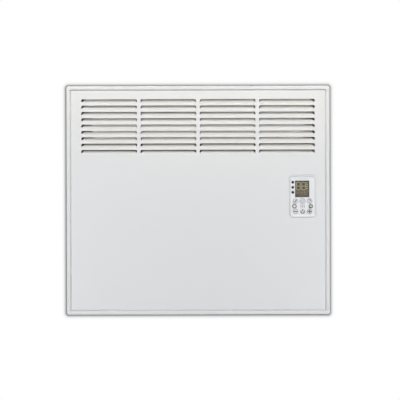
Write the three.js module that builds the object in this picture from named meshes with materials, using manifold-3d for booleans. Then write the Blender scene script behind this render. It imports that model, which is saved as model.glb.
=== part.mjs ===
// Wall panel convector heater. A pressed steel front panel with drawn louvres and a
// push-button control unit covers a rear casing, which hangs by two slots on a wall rail.
// Inside are the finned heating element on its brackets, the sheets that guide the air,
// and the boards that switch it.
// Millimetres, +Z up. The wall is the plane y = 0, the front faces -Y, and x runs to the
// right as the heater is seen. The origin is the centre of the wall rail's back face.

import * as THREE from 'three';
import Module from 'manifold-3d';
import { mergeVertices } from 'three/addons/utils/BufferGeometryUtils.js';

const wasm = await Module();
wasm.setup();

// ---- Driving dimensions --------------------------------------------------------------

const FIT = 0.3; // gap left between solids that touch or are seated
const BOARD_GAP = 1.2; // room round a board inside its housing

// Heater and front panel
const PANEL_WIDTH = 518;
const PANEL_HEIGHT = 450;
const HEATER_DEPTH = 80; // wall to the front of the border
const PANEL_SHEET = 1.0;
const PANEL_CORNER = 5; // corner radius of the outline
const PANEL_ROLL = 2.6; // radius of the rolled outer edge
const FLANGE_DEPTH = 18; // folded edge, front to back
const BORDER_FLAT = 4.2; // outline to the mitred line in the border
const BORDER_WIDTH = 7.6; // outline to the top of the step
const BORDER_FALL = 0.4; // fall of the border's inner band
const STEP_RUN = 1.2; // width of the step down to the field
const FIELD_RECESS = 1.8; // border front to field
const FIELD_CORNER = 0.8;

// Louvres
const LOUVRE_COLUMNS = 4;
const LOUVRE_ROWS = 9;
const LOUVRE_SIDE_MARGIN = 29.3; // outline to the first column
const LOUVRE_TOP_MARGIN = 26.2; // outline to the first cut edge
const LOUVRE_COLUMN_GAP = 7;
const LOUVRE_PITCH = 12.5;
const LOUVRE_HEIGHT = 9; // root line to cut edge
const LOUVRE_DEPTH = 6.5; // how far the blade is pressed in
const LOUVRE_SLOT = 1.2; // blade edge to cut edge, seen square on
const LOUVRE_END_RUN = 2.6; // slope of the pocket's closed ends
const LOUVRE_TIP_DROP = 5; // cut edge down to where the end cut stops
const LOUVRE_CORNER = 2.2; // rounded corner of the cut
const LOUVRE_BLADE_CHAMFER = 3; // corner of the blade
const LOUVRE_STEPS = 3; // facets up the blade's face
const SCOOP_STEPS = 2; // facets up its hidden back

// Rear casing
const CASING_SHEET = 0.9;
const CASING_CORNER = 4;
const CASING_CHAMFER = 8;
const CASING_SIDE_CLEARANCE = 0.5; // casing side to the panel's folded edge
const CASING_FRONT_CLEARANCE = 3; // casing's front edge to the back of the field
const WALL_GAP = 18; // wall to the casing's back
const INLET_WIDTH = 3.6;
const INLET_LENGTH = 28;
const INLET_PITCH = 16;
const INLET_END_MARGIN = 22; // casing corner to the first inlet slot
const INLET_BACK_MARGIN = 12; // casing's back to the slots

// Wall rail
const RAIL_DROP = 100; // rail centre above the panel's centre
const RAIL_SIDE_MARGIN = 109; // panel outline to the rail's end
const RAIL_HEIGHT = 60;
const RAIL_SHEET = 1.5;
const RAIL_CASING_GAP = 0.6;
const RAIL_SLOT_WIDTH = 6;
const RAIL_SLOT_LENGTH = 14;
const RAIL_SLOT_END_MARGIN = 30; // rail's end to the slots
const RAIL_SLOT_SPACING_Z = 30;
const HOOK_WIDTH = 20;
const HOOK_END_MARGIN = 60; // rail's end to the middle of the hook
const HOOK_LIP = 10; // height of the lip above the leg
const HOOK_CLEARANCE = 0.6; // lip to the casing's sheet
const HOOK_SLOT_SIDE = 1;
const HOOK_SLOT_SPARE = 2.5; // slot height past the hook's own

// Wall spacers
const SPACER_BASE_RADIUS = 13;
const SPACER_TIP_RADIUS = 10;
const SPACER_STEM_RADIUS = 4;
const SPACER_BARB = 1;
const SPACER_BARB_HEIGHT = 3;
const SPACER_SIDE_MARGIN = 60; // panel outline to the spacer's axis
const SPACER_BOTTOM_MARGIN = 26;

// Casing screws
const SCREW_RADIUS = 1.6;
const SCREW_HEAD_RADIUS = 2.9;
const SCREW_HEAD_DEPTH = 1.3;
const SCREW_HEAD_LAND = 0.2; // straight edge of the head
const SCREW_LENGTH = 9;
const SCREW_SPACING = 300;
const SCREW_INSET = 7; // back edge of the folded edge to the screw

// Control unit
const CONTROL_EDGE_MARGIN = 53.4; // panel outline to the unit's centre line
const CONTROL_ABOVE_CENTRE = 7.2;
const BEZEL_WIDTH = 51;
const BEZEL_HEIGHT = 82;
const BEZEL_CORNER = 6;
const BEZEL_PROUD = 1; // rim in front of the field
const BEZEL_RIM = 0.8;
const BEZEL_RIM_CHAMFER = 0.4;
const BEZEL_DISH = 2.2; // rim to the sunk face
const BEZEL_SIDE_SLOPE = 2.2;
const BEZEL_END_SLOPE = 3;
const BEZEL_WALL = 1.6;
const SKIRT_INSET = 1;
const SKIRT_WALL = 1.4;
const SKIRT_DEPTH = 8;
const LIP_WIDTH = 27; // crescent grip under the top slope
const LIP_DROP = 3.6;
const LIP_RISE = 0.6;
const HOUSING_WALL = 1.6;
const HOUSING_DEPTH = 24;
const POST_RADIUS = 2.2;

// Display, lamps and receiver, placed from the control unit's centre
const WINDOW_WIDTH = 27.4;
const WINDOW_HEIGHT = 32;
const WINDOW_X = -0.6;
const WINDOW_Z = 14.6;
const WINDOW_RECESS = 0.3;
const HIDDEN_FLANGE = 0.8; // flange behind the face, thickness and width
const MODULE_DEPTH = 2.4;
const LAMP_RADIUS = 2.3;
const LAMP_COUNT = 3;
const LAMP_X = -19;
const LAMP_TOP_Z = 27.8;
const LAMP_PITCH = 10;
const LAMP_STEM_RADIUS = 1.5;
const RECEIVER_RADIUS = 5.9;
const RECEIVER_STEM_RADIUS = 3;
const BUTTON_TOP_Z = -9.4; // upper row of buttons, and the receiver

// Buttons
const BUTTON_RADIUS = 4.2;
const BUTTON_CLEARANCE = 0.3;
const BUTTON_COLLAR = 0.5; // collar past the hole
const BUTTON_PROUD = 0.9;
const BUTTON_EDGE = 0.5; // rounding of the cap
const BUTTON_TRAVEL = 0.8;
const BUTTON_COLUMN = 13.9;
const BUTTON_SPREAD = 2.2; // middle row stands this much wider
const BUTTON_ROW_PITCH = 10.2;

// Boards
const BOARD_THICKNESS = 1.6;
const SWITCH_SIZE = 5;
const SWITCH_BODY = 1;
const SWITCH_PLUNGER_RADIUS = 1.6;

// Air guides
const SHIELD_SHEET = 0.6;
const SHIELD_STANDOFF = 7; // casing's back to the shield
const SHIELD_FOOT = 10;
const SHIELD_HEIGHT = 250;
const SHIELD_ABOVE_FLOOR = 34;
const SHIELD_SIDE_INSET = 2; // inside the element's ends
const DEFLECTOR_SHEET = 0.6;
const DEFLECTOR_FOOT = 10;
const DEFLECTOR_START = 84; // panel centre to the foot's lower edge
const DEFLECTOR_RUN = 14; // foot to the middle bend, front to back
const DEFLECTOR_RISE = 30; // foot to the middle bend, upwards
const DEFLECTOR_TOP_GAP = 6;
const DEFLECTOR_SIDE_GAP = 2; // to the casing's flat back
const DEFLECTOR_LOUVRE_GAP = 6;
const PARTITION_SHEET = 0.8;
const PARTITION_TOP = 74; // panel centre to the partition's top
const PARTITION_CONTROL_GAP = 18;
const PARTITION_FOOT = 12;
const PARTITION_SIDE_GAP = 2;
const PARTITION_FRONT_GAP = 4;

// Heating element
const ELEMENT_CENTRE_Z = -118;
const ELEMENT_CORE_RADIUS = 8;
const ELEMENT_BORE_CLEARANCE = 0.6;
const ELEMENT_HEIGHT = 62;
const ELEMENT_DEPTH = 34;
const ELEMENT_ARM = 2.4;
const ELEMENT_FIN = 6; // stub fin at each arm's end
const ELEMENT_SIDE_GAP = 40; // casing side to the profile
const ELEMENT_PARTITION_GAP = 44;
const ROD_RADIUS = 4;
const ROD_OVERHANG = 20; // rod past each end of the profile
const TERMINAL_RADIUS = 1.5;
const TERMINAL_LENGTH = 9;
const BUSH_FLANGE_RADIUS = 10;
const BUSH_NECK_RADIUS = 7.5;
const BUSH_LENGTH = 12;
const BUSH_GROOVE = 2.4;
const BUSH_END_GAP = 5; // profile's end to the bush
const STAY_SHEET = 1.5;
const STAY_HEIGHT = 44;
const STAY_FOOT = 14;
const STAY_HEAD = 16; // bush axis to the stay's front edge

// Overheat cut-out and room sensor
const CUTOUT_RADIUS = 8.5;
const CUTOUT_BODY = 7;
const CUTOUT_FLANGE_WIDTH = 34;
const CUTOUT_FLANGE_HEIGHT = 11;
const CUTOUT_FLANGE_SHEET = 1.2;
const CUTOUT_TAB_WIDTH = 4.8;
const CUTOUT_TAB_LENGTH = 8;
const CUTOUT_TAB_SHEET = 0.8;
const CUTOUT_X = -60;
const CUTOUT_Z = -48;
const SENSOR_RADIUS = 2.2;
const SENSOR_LENGTH = 16;
const SENSOR_CLIP_WALL = 1.6;
const SENSOR_CLIP_LENGTH = 10;
const SENSOR_CLIP_HEIGHT = 14;
const SENSOR_ABOVE_FLOOR = 14;
const SENSOR_EDGE_MARGIN = 24; // casing side to the sensor

// Power board
const POWER_BOARD_WIDTH = 68;
const POWER_BOARD_HEIGHT = 128;
const POWER_BOARD_Z = -112;
const POWER_BOARD_STANDOFF = 9;
const CARRIER_WALL = 2;
const CARRIER_RIM = 3;
const RELAY_WIDTH = 19;
const RELAY_HEIGHT = 28;
const RELAY_DEPTH = 16;
const TRANSFORMER_WIDTH = 36;
const TRANSFORMER_HEIGHT = 32;
const TRANSFORMER_DEPTH = 24;
const TERMINAL_BLOCK_WIDTH = 38;
const TERMINAL_BLOCK_HEIGHT = 16;
const TERMINAL_BLOCK_DEPTH = 14;
const TERMINAL_WAYS = 3;
const TERMINAL_WAY_RADIUS = 2.6;
const TERMINAL_WAY_DEPTH = 8;
const BOARD_EDGE = 6; // board edge to the parts on it

// Cable inlet bush
const INLET_BUSH_RADIUS = 8; // neck through the casing
const INLET_BUSH_BORE = 4.4;
const INLET_BUSH_RIM = 3; // flange past the neck
const INLET_BUSH_FLANGE = 2.4;
const INLET_BUSH_TAPER = 1.2;
const INLET_BUSH_LENGTH = 13; // from the casing's outside
const INLET_BUSH_MARGIN = 34; // casing side to the bush's axis
const INLET_BUSH_WALL_DISTANCE = 44;

// Facets
const CORNER_STEPS = 4;
const ROLL_STEPS = 3;
const ARC_STEPS = 2;
const ROUND_FACETS = 16;
const BUTTON_FACETS = 12;
const SMALL_FACETS = 10;
const SLOT_END_STEPS = 1;
const MERGE_DISTANCE = 1e-4;

// ---- Places worked out from the sizes ------------------------------------------------

const FRONT_Y = -HEATER_DEPTH;
const FIELD_Y = FRONT_Y + FIELD_RECESS;
const FIELD_BACK_Y = FIELD_Y + PANEL_SHEET;
const FLANGE_BACK_Y = FRONT_Y + FLANGE_DEPTH;
const CASING_BACK_Y = -WALL_GAP;
const CASING_INNER_Y = CASING_BACK_Y - CASING_SHEET;
const CASING_FRONT_Y = FIELD_BACK_Y + CASING_FRONT_CLEARANCE;
const CASING_HALF_WIDTH = PANEL_WIDTH / 2 - PANEL_SHEET - CASING_SIDE_CLEARANCE;
const CASING_HALF_HEIGHT = PANEL_HEIGHT / 2 - PANEL_SHEET - CASING_SIDE_CLEARANCE;
const CASING_INNER_HALF_WIDTH = CASING_HALF_WIDTH - CASING_SHEET;
const CASING_INNER_HALF_HEIGHT = CASING_HALF_HEIGHT - CASING_SHEET;
const CASING_FLAT_HALF_WIDTH = CASING_HALF_WIDTH - CASING_CHAMFER - CASING_SHEET;
const CASING_FLAT_HALF_HEIGHT = CASING_HALF_HEIGHT - CASING_CHAMFER - CASING_SHEET;
const SHIELD_Y = CASING_INNER_Y - SHIELD_STANDOFF;
const ELEMENT_Y = (SHIELD_Y - SHIELD_SHEET + FIELD_BACK_Y) / 2;
const CONTROL_X = PANEL_WIDTH / 2 - CONTROL_EDGE_MARGIN;
const HOUSING_HALF_WIDTH = BEZEL_WIDTH / 2 - SKIRT_INSET + FIT + HOUSING_WALL;
const HOUSING_HALF_HEIGHT = BEZEL_HEIGHT / 2 - SKIRT_INSET + FIT + HOUSING_WALL;
const PARTITION_X = CONTROL_X - HOUSING_HALF_WIDTH - PARTITION_CONTROL_GAP;
const ELEMENT_LEFT = -CASING_INNER_HALF_WIDTH + ELEMENT_SIDE_GAP;
const ELEMENT_RIGHT = PARTITION_X - ELEMENT_PARTITION_GAP;
const FACE_Y = BEZEL_DISH - BEZEL_PROUD; // control unit's own y, from the field's front
const FACE_BACK_Y = FACE_Y + BEZEL_WALL;
const COLLAR_Y = FACE_BACK_Y + FIT;
const COLLAR_BACK_Y = COLLAR_Y + HIDDEN_FLANGE;
const MODULE_Y = COLLAR_BACK_Y + FIT;
const BOARD_Y = MODULE_Y + MODULE_DEPTH + FIT;
const BOARD_BACK_Y = BOARD_Y + BOARD_THICKNESS;
const RAIL_LENGTH = PANEL_WIDTH - 2 * RAIL_SIDE_MARGIN;
const RAIL_TOP_Z = RAIL_HEIGHT / 2;
const RAIL_SLOT_X = RAIL_LENGTH / 2 - RAIL_SLOT_END_MARGIN;
const HOOK_X = RAIL_LENGTH / 2 - HOOK_END_MARGIN;
const HOOK_SLOT_TOP_Z = RAIL_DROP + RAIL_TOP_Z + FIT; // from the panel's centre
const HOOK_SLOT_HEIGHT = HOOK_LIP + RAIL_SHEET + FIT + HOOK_SLOT_SPARE;
const COMPARTMENT_X = (PARTITION_X + CASING_INNER_HALF_WIDTH) / 2;

// ---- Finishes ------------------------------------------------------------------------

function finish(color, roughness, metalness) {
  return new THREE.MeshStandardMaterial({ color, roughness, metalness });
}

const WHITE_POWDER = finish('#e9e9e8', 0.42, 0);
const CASING_POWDER = finish('#dfe0df', 0.5, 0);
const ZINC_SHEET = finish('#aeb2b4', 0.38, 1);
const BRIGHT_ALUMINIUM = finish('#c9cbcc', 0.3, 1);
const CAST_FIN = finish('#9a9d9f', 0.45, 1);
const SHEATH_STEEL = finish('#7b746c', 0.4, 1);
const CERAMIC = finish('#efe9dc', 0.6, 0);
const WHITE_PLASTIC = finish('#e8e9ea', 0.35, 0);
const GREY_PLASTIC = finish('#5a5d60', 0.55, 0);
const BLACK_PLASTIC = finish('#1e1f21', 0.5, 0);
const SMOKED_WINDOW = finish('#6a6352', 0.15, 0);
const DARK_LENS = finish('#26272a', 0.2, 0);
const PALE_LENS = finish('#c9ccd6', 0.3, 0);
const BOARD_GREEN = finish('#1f5a3c', 0.5, 0);
const RELAY_BLUE = finish('#2b5fa3', 0.4, 0);
const SCREW_STEEL = finish('#c2c4c6', 0.3, 1);

// ---- Shared shape operations ---------------------------------------------------------

function solid(geometry) {
  const bare = geometry.clone();
  bare.deleteAttribute('normal');
  bare.deleteAttribute('uv');
  const merged = mergeVertices(bare, MERGE_DISTANCE);
  const corners = Array.from(merged.index.array);
  const kept = [];
  for (let first = 0; first < corners.length; first += 3) {
    const [a, b, c] = corners.slice(first, first + 3);
    if (a !== b && b !== c && c !== a) {
      kept.push(a, b, c);
    }
  }
  return new wasm.Manifold(new wasm.Mesh({
    numProp: 3,
    vertProperties: merged.attributes.position.array,
    triVerts: Uint32Array.from(kept),
  }));
}

function surface(body) {
  const mesh = body.getMesh();
  const geometry = new THREE.BufferGeometry();
  geometry.setAttribute('position', new THREE.BufferAttribute(mesh.vertProperties, 3));
  geometry.setIndex(new THREE.BufferAttribute(mesh.triVerts, 1));
  geometry.computeVertexNormals();
  return geometry;
}

function cut(base, tools) {
  let body = solid(base);
  for (const tool of tools) {
    body = body.subtract(solid(tool));
  }
  return surface(body);
}

function join(pieces) {
  const [first, ...others] = pieces;
  let body = solid(first);
  for (const other of others) {
    body = body.add(solid(other));
  }
  return surface(body);
}

function moved(geometry, x, y, z) {
  return geometry.clone().translate(x, y, z);
}

const TO_RIGHT = new THREE.Vector3(1, 0, 0);
const TO_WALL = new THREE.Vector3(0, 1, 0);
const TO_FRONT = new THREE.Vector3(0, -1, 0);
const UPWARDS = new THREE.Vector3(0, 0, 1);

// An outline drawn as (y, z) and pushed to the right from x = start.
function extrudeX(shape, start, length) {
  const geometry = new THREE.ExtrudeGeometry(shape, extrusion(length));
  geometry.applyMatrix4(new THREE.Matrix4().makeBasis(TO_WALL, UPWARDS, TO_RIGHT));
  return geometry.translate(start, 0, 0);
}

// An outline drawn as (x, z) and pushed to the front from y = back.
function extrudeY(shape, back, length) {
  const geometry = new THREE.ExtrudeGeometry(shape, extrusion(length));
  geometry.applyMatrix4(new THREE.Matrix4().makeBasis(TO_RIGHT, UPWARDS, TO_FRONT));
  return geometry.translate(0, back, 0);
}

// An outline drawn as (x, y) and pushed upwards from z = start.
function extrudeZ(shape, start, length, steps = ARC_STEPS) {
  return new THREE.ExtrudeGeometry(shape, extrusion(length, steps)).translate(0, 0, start);
}

function extrusion(depth, curveSegments = ARC_STEPS) {
  return { depth, bevelEnabled: false, curveSegments };
}

function block(low, high) {
  const size = new THREE.Vector3().subVectors(high, low);
  const centre = new THREE.Vector3().addVectors(low, high).multiplyScalar(0.5);
  return new THREE.BoxGeometry(size.x, size.y, size.z).translate(centre.x, centre.y, centre.z);
}

function at(x, y, z) {
  return new THREE.Vector3(x, y, z);
}

// Turns a profile of (radius, y) points about the y axis. The profile runs from the front
// face's axis point outwards and back to the axis, or closes on itself.
function turn(profile, facets = ROUND_FACETS) {
  const points = profile.map(([radius, y]) => new THREE.Vector2(radius, y));
  return new THREE.LatheGeometry(points, facets);
}

function disc(radius, front, back, facets = ROUND_FACETS) {
  return turn([[0, front], [radius, front], [radius, back], [0, back]], facets);
}

function rectangle(halfWidth, halfHeight, radius) {
  const shape = new THREE.Shape();
  const quarter = Math.PI / 2;
  const x = halfWidth - radius;
  const z = halfHeight - radius;
  shape.moveTo(halfWidth, -z);
  shape.lineTo(halfWidth, z);
  shape.absarc(x, z, radius, 0, quarter);
  shape.lineTo(-x, halfHeight);
  shape.absarc(-x, z, radius, quarter, 2 * quarter);
  shape.lineTo(-halfWidth, -z);
  shape.absarc(-x, -z, radius, 2 * quarter, 3 * quarter);
  shape.lineTo(x, -halfHeight);
  shape.absarc(x, -z, radius, 3 * quarter, 4 * quarter);
  return shape;
}

function polygon(points) {
  return new THREE.Shape(points.map(([u, v]) => new THREE.Vector2(u, v)));
}

// The section of a bent sheet: a line of bends, thickened to its left.
function bentSheet(bends, thickness) {
  const line = bends.map(([u, v]) => new THREE.Vector2(u, v));
  const offset = line.map((point, index) => {
    const before = line[Math.max(index - 1, 0)];
    const after = line[Math.min(index + 1, line.length - 1)];
    const arriving = index > 0 ? direction(before, point) : direction(point, after);
    const leaving = index < line.length - 1 ? direction(point, after) : arriving;
    const mitre = leftOf(arriving).add(leftOf(leaving)).normalize();
    const reach = thickness / mitre.dot(leftOf(arriving));
    return point.clone().addScaledVector(mitre, reach);
  });
  return new THREE.Shape([...line, ...offset.reverse()]);
}

function direction(from, to) {
  return new THREE.Vector2().subVectors(to, from).normalize();
}

function leftOf(vector) {
  return new THREE.Vector2(-vector.y, vector.x);
}

function roundedRing(halfWidth, halfHeight, radius, y) {
  const ring = [];
  const sides = [[1, 1], [-1, 1], [-1, -1], [1, -1]];
  sides.forEach(([right, up], corner) => {
    for (let step = 0; step <= CORNER_STEPS; step += 1) {
      const angle = (corner + step / CORNER_STEPS) * (Math.PI / 2);
      const x = right * (halfWidth - radius) + radius * Math.cos(angle);
      const z = up * (halfHeight - radius) + radius * Math.sin(angle);
      ring.push(new THREE.Vector3(x, y, z));
    }
  });
  return ring;
}

// Skins a row of matching rings and closes the first and the last with flat faces.
function loft(rings) {
  const count = rings[0].length;
  const corners = [];
  for (let ring = 0; ring < rings.length - 1; ring += 1) {
    for (let index = 0; index < count; index += 1) {
      const a = ring * count + index;
      const b = ring * count + ((index + 1) % count);
      corners.push(a, b, b + count, a, b + count, a + count);
    }
  }
  const last = (rings.length - 1) * count;
  for (let index = 1; index < count - 1; index += 1) {
    corners.push(0, index + 1, index);
    corners.push(last, last + index, last + index + 1);
  }
  return facingOut(rings.flat(), corners);
}

function facingOut(points, corners) {
  let volume = 0;
  for (let first = 0; first < corners.length; first += 3) {
    const [a, b, c] = corners.slice(first, first + 3).map((corner) => points[corner]);
    volume += a.dot(new THREE.Vector3().crossVectors(b, c));
  }
  const ordered = volume > 0 ? corners : corners.reverse();
  const geometry = new THREE.BufferGeometry().setFromPoints(points);
  geometry.setIndex(ordered);
  geometry.computeVertexNormals();
  return geometry;
}

function piece(parent, name, geometry, material) {
  const mesh = new THREE.Mesh(geometry, material);
  mesh.name = name;
  parent.add(mesh);
  return mesh;
}

// ---- Front panel ---------------------------------------------------------------------

// The panel's section as rings: across the field's front, over the step and the border,
// round the rolled edge to the folded edge, and back along the inside.
function panelShell() {
  const ring = (inset, y, radius) => roundedRing(
    PANEL_WIDTH / 2 - inset,
    PANEL_HEIGHT / 2 - inset,
    radius,
    y,
  );
  const rollY = FRONT_Y + PANEL_ROLL;
  const roll = (radius, from, to) => {
    const rings = [];
    for (let step = 0; step <= ROLL_STEPS; step += 1) {
      const angle = from + ((to - from) * step) / ROLL_STEPS;
      const inset = PANEL_ROLL - radius * Math.sin(angle);
      rings.push(ring(inset, rollY - radius * Math.cos(angle), PANEL_CORNER - inset));
    }
    return rings;
  };
  const quarter = Math.PI / 2;
  const lineRadius = PANEL_CORNER - PANEL_ROLL;
  const stepInset = BORDER_WIDTH + STEP_RUN;
  const innerStep = PANEL_SHEET * (STEP_RUN / FIELD_RECESS);
  return loft([
    ring(stepInset, FIELD_Y, FIELD_CORNER),
    ring(BORDER_WIDTH, FRONT_Y + BORDER_FALL, FIELD_CORNER),
    ring(BORDER_FLAT, FRONT_Y, lineRadius),
    ...roll(PANEL_ROLL, 0, quarter),
    ring(0, FLANGE_BACK_Y, PANEL_CORNER),
    ring(PANEL_SHEET, FLANGE_BACK_Y, PANEL_CORNER - PANEL_SHEET),
    ...roll(PANEL_ROLL - PANEL_SHEET, quarter, 0),
    ring(BORDER_FLAT, FRONT_Y + PANEL_SHEET, lineRadius),
    ring(BORDER_WIDTH + innerStep, FRONT_Y + BORDER_FALL + PANEL_SHEET, FIELD_CORNER),
    ring(stepInset + innerStep, FIELD_BACK_Y, FIELD_CORNER),
  ]);
}

function louvreLength() {
  const margins = 2 * LOUVRE_SIDE_MARGIN + (LOUVRE_COLUMNS - 1) * LOUVRE_COLUMN_GAP;
  return (PANEL_WIDTH - margins) / LOUVRE_COLUMNS;
}

// The space pressed into the sheet above one root line, at z = 0 and y = 0 on the field.
// It is steep at the root, and parallel to the field at the blade's edge. Grown by the
// sheet's thickness, the same form is the outside of the scoop.
function louvreForm(front, growth, top, steps) {
  const half = louvreLength() / 2;
  const bladeHeight = LOUVRE_HEIGHT - LOUVRE_SLOT;
  const rings = [];
  for (let step = 0; step <= steps; step += 1) {
    const share = step / steps;
    const rise = Math.sin((share * Math.PI) / 2);
    const z = share * (bladeHeight + top + growth) - growth;
    const depth = LOUVRE_DEPTH * rise + growth;
    const mouth = half + growth;
    const floor = mouth - LOUVRE_END_RUN * rise;
    rings.push([
      at(-mouth, front, z),
      at(mouth, front, z),
      at(mouth, growth / 2, z),
      at(floor, depth, z),
      at(-floor, depth, z),
      at(-mouth, growth / 2, z),
    ]);
  }
  return loft(rings);
}

// What the press shears away as seen from the front: a slot along the top, whose ends
// turn down round the blade's corners to a point.
function louvreCut() {
  const half = louvreLength() / 2;
  const bladeTop = LOUVRE_HEIGHT - LOUVRE_SLOT;
  const tip = LOUVRE_HEIGHT - LOUVRE_TIP_DROP;
  const corner = LOUVRE_CORNER;
  const shape = new THREE.Shape();
  shape.moveTo(half, tip);
  shape.lineTo(half, LOUVRE_HEIGHT - corner);
  shape.absarc(half - corner, LOUVRE_HEIGHT - corner, corner, 0, Math.PI / 2);
  shape.lineTo(corner - half, LOUVRE_HEIGHT);
  shape.absarc(corner - half, LOUVRE_HEIGHT - corner, corner, Math.PI / 2, Math.PI);
  shape.lineTo(-half, tip);
  shape.lineTo(LOUVRE_BLADE_CHAMFER - half, bladeTop);
  shape.lineTo(half - LOUVRE_BLADE_CHAMFER, bladeTop);
  const through = LOUVRE_DEPTH + 2 * PANEL_SHEET;
  return extrudeY(shape, through, through + PANEL_SHEET);
}

function louvreRoots() {
  const length = louvreLength();
  const firstX = -PANEL_WIDTH / 2 + LOUVRE_SIDE_MARGIN + length / 2;
  const firstZ = PANEL_HEIGHT / 2 - LOUVRE_TOP_MARGIN - LOUVRE_HEIGHT;
  const roots = [];
  for (let column = 0; column < LOUVRE_COLUMNS; column += 1) {
    for (let row = 0; row < LOUVRE_ROWS; row += 1) {
      const x = firstX + column * (length + LOUVRE_COLUMN_GAP);
      roots.push(at(x, FIELD_Y, firstZ - row * LOUVRE_PITCH));
    }
  }
  return roots;
}

function pressLouvres(shell) {
  const scoop = louvreForm(PANEL_SHEET / 2, PANEL_SHEET, 0, SCOOP_STEPS);
  const pocket = louvreForm(-PANEL_SHEET, 0, LOUVRE_SLOT / 2, LOUVRE_STEPS);
  const slot = louvreCut();
  const roots = louvreRoots();
  let body = solid(shell);
  for (const root of roots) {
    body = body.add(solid(moved(scoop, root.x, root.y, root.z)));
  }
  for (const root of roots) {
    body = body.subtract(solid(moved(pocket, root.x, root.y, root.z)));
    body = body.subtract(solid(moved(slot, root.x, root.y, root.z)));
  }
  return surface(body);
}

function controlCutOut() {
  const halfWidth = BEZEL_WIDTH / 2 - SKIRT_INSET + FIT;
  const halfHeight = BEZEL_HEIGHT / 2 - SKIRT_INSET + FIT;
  const opening = rectangle(halfWidth, halfHeight, BEZEL_CORNER - SKIRT_INSET + FIT);
  const tool = extrudeY(opening, FIELD_BACK_Y + PANEL_SHEET, 3 * PANEL_SHEET);
  return moved(tool, CONTROL_X, 0, CONTROL_ABOVE_CENTRE);
}

function frontPanel(heater) {
  const pressed = pressLouvres(panelShell());
  const holes = screwPlaces().map((place) => screwForm(place, FIT));
  piece(heater, 'front_panel', cut(pressed, [controlCutOut(), ...holes]), WHITE_POWDER);
}

// ---- Casing screws -------------------------------------------------------------------

function screwPlaces() {
  const y = FLANGE_BACK_Y - SCREW_INSET;
  const z = SCREW_SPACING / 2;
  const x = PANEL_WIDTH / 2;
  return [at(-x, y, z), at(-x, y, -z), at(x, y, z), at(x, y, -z)];
}

// A countersunk screw, or the hole for it when grown, pointing inwards at its place.
function screwForm(place, growth) {
  const head = SCREW_HEAD_RADIUS + growth;
  const shank = SCREW_RADIUS + growth;
  const form = turn([
    [0, -growth],
    [head, -growth],
    [head, SCREW_HEAD_LAND],
    [shank, SCREW_HEAD_DEPTH + growth],
    [shank, SCREW_LENGTH + growth],
    [0, SCREW_LENGTH + growth],
  ], SMALL_FACETS);
  form.rotateZ(place.x < 0 ? -Math.PI / 2 : Math.PI / 2);
  return form.translate(place.x, place.y, place.z);
}

function casingScrews(heater) {
  screwPlaces().forEach((place, index) => {
    piece(heater, `casing_screw_${index + 1}`, screwForm(place, 0), SCREW_STEEL);
  });
}

// ---- Rear casing ---------------------------------------------------------------------

function casingShell() {
  const ring = (inset, y) => roundedRing(
    CASING_HALF_WIDTH - inset,
    CASING_HALF_HEIGHT - inset,
    CASING_CORNER,
    y,
  );
  const bend = CASING_SHEET * Math.tan(Math.PI / 8);
  return loft([
    ring(CASING_CHAMFER, CASING_BACK_Y),
    ring(0, CASING_BACK_Y - CASING_CHAMFER),
    ring(0, CASING_FRONT_Y),
    ring(CASING_SHEET, CASING_FRONT_Y),
    ring(CASING_SHEET, CASING_BACK_Y - CASING_CHAMFER - bend),
    ring(CASING_CHAMFER + bend, CASING_INNER_Y),
  ]);
}

function inletSlots() {
  const slotY = CASING_BACK_Y - INLET_BACK_MARGIN - INLET_LENGTH / 2;
  const outline = rectangle(INLET_WIDTH / 2, INLET_LENGTH / 2, INLET_WIDTH / 2);
  const half = CASING_HALF_WIDTH - INLET_END_MARGIN;
  const count = Math.floor((2 * half) / INLET_PITCH);
  const keepOff = INLET_BUSH_RADIUS + INLET_BUSH_RIM + INLET_WIDTH;
  const slots = [];
  for (let index = 0; index <= count; index += 1) {
    const x = (index - count / 2) * INLET_PITCH;
    const nearBush = Math.abs(x - bushPlace().x) < keepOff;
    const nearPartition = Math.abs(x - PARTITION_X) < INLET_WIDTH + PARTITION_SHEET;
    if (!nearBush && !nearPartition) {
      const start = -CASING_HALF_HEIGHT - CASING_SHEET;
      const slot = extrudeZ(outline, start, 3 * CASING_SHEET, SLOT_END_STEPS);
      slots.push(slot.translate(x, slotY, 0));
    }
  }
  return slots;
}

function hookSlots() {
  const halfWidth = HOOK_WIDTH / 2 + HOOK_SLOT_SIDE;
  return [-1, 1].map((side) => {
    const x = side * HOOK_X;
    const back = CASING_BACK_Y + CASING_SHEET;
    const low = at(x - halfWidth, CASING_INNER_Y - CASING_SHEET, HOOK_SLOT_TOP_Z - HOOK_SLOT_HEIGHT);
    return block(low, at(x + halfWidth, back, HOOK_SLOT_TOP_Z));
  });
}

function spacerPlaces() {
  const x = PANEL_WIDTH / 2 - SPACER_SIDE_MARGIN;
  const z = -PANEL_HEIGHT / 2 + SPACER_BOTTOM_MARGIN;
  return { left: at(-x, 0, z), right: at(x, 0, z) };
}

function rearCasing(heater) {
  const spacerHoles = Object.values(spacerPlaces()).map((place) => moved(
    disc(SPACER_STEM_RADIUS + FIT, CASING_INNER_Y - CASING_SHEET, CASING_BACK_Y + CASING_SHEET),
    place.x,
    0,
    place.z,
  ));
  const bushHole = disc(INLET_BUSH_RADIUS + FIT, -CASING_SHEET, 2 * CASING_SHEET);
  bushHole.rotateX(Math.PI / 2);
  bushHole.translate(bushPlace().x, bushPlace().y, bushPlace().z);
  const screwHoles = screwPlaces().map((place) => screwForm(place, FIT));
  const tools = [...hookSlots(), ...inletSlots(), ...spacerHoles, bushHole, ...screwHoles];
  piece(heater, 'rear_casing', cut(casingShell(), tools), CASING_POWDER);
}

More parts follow.
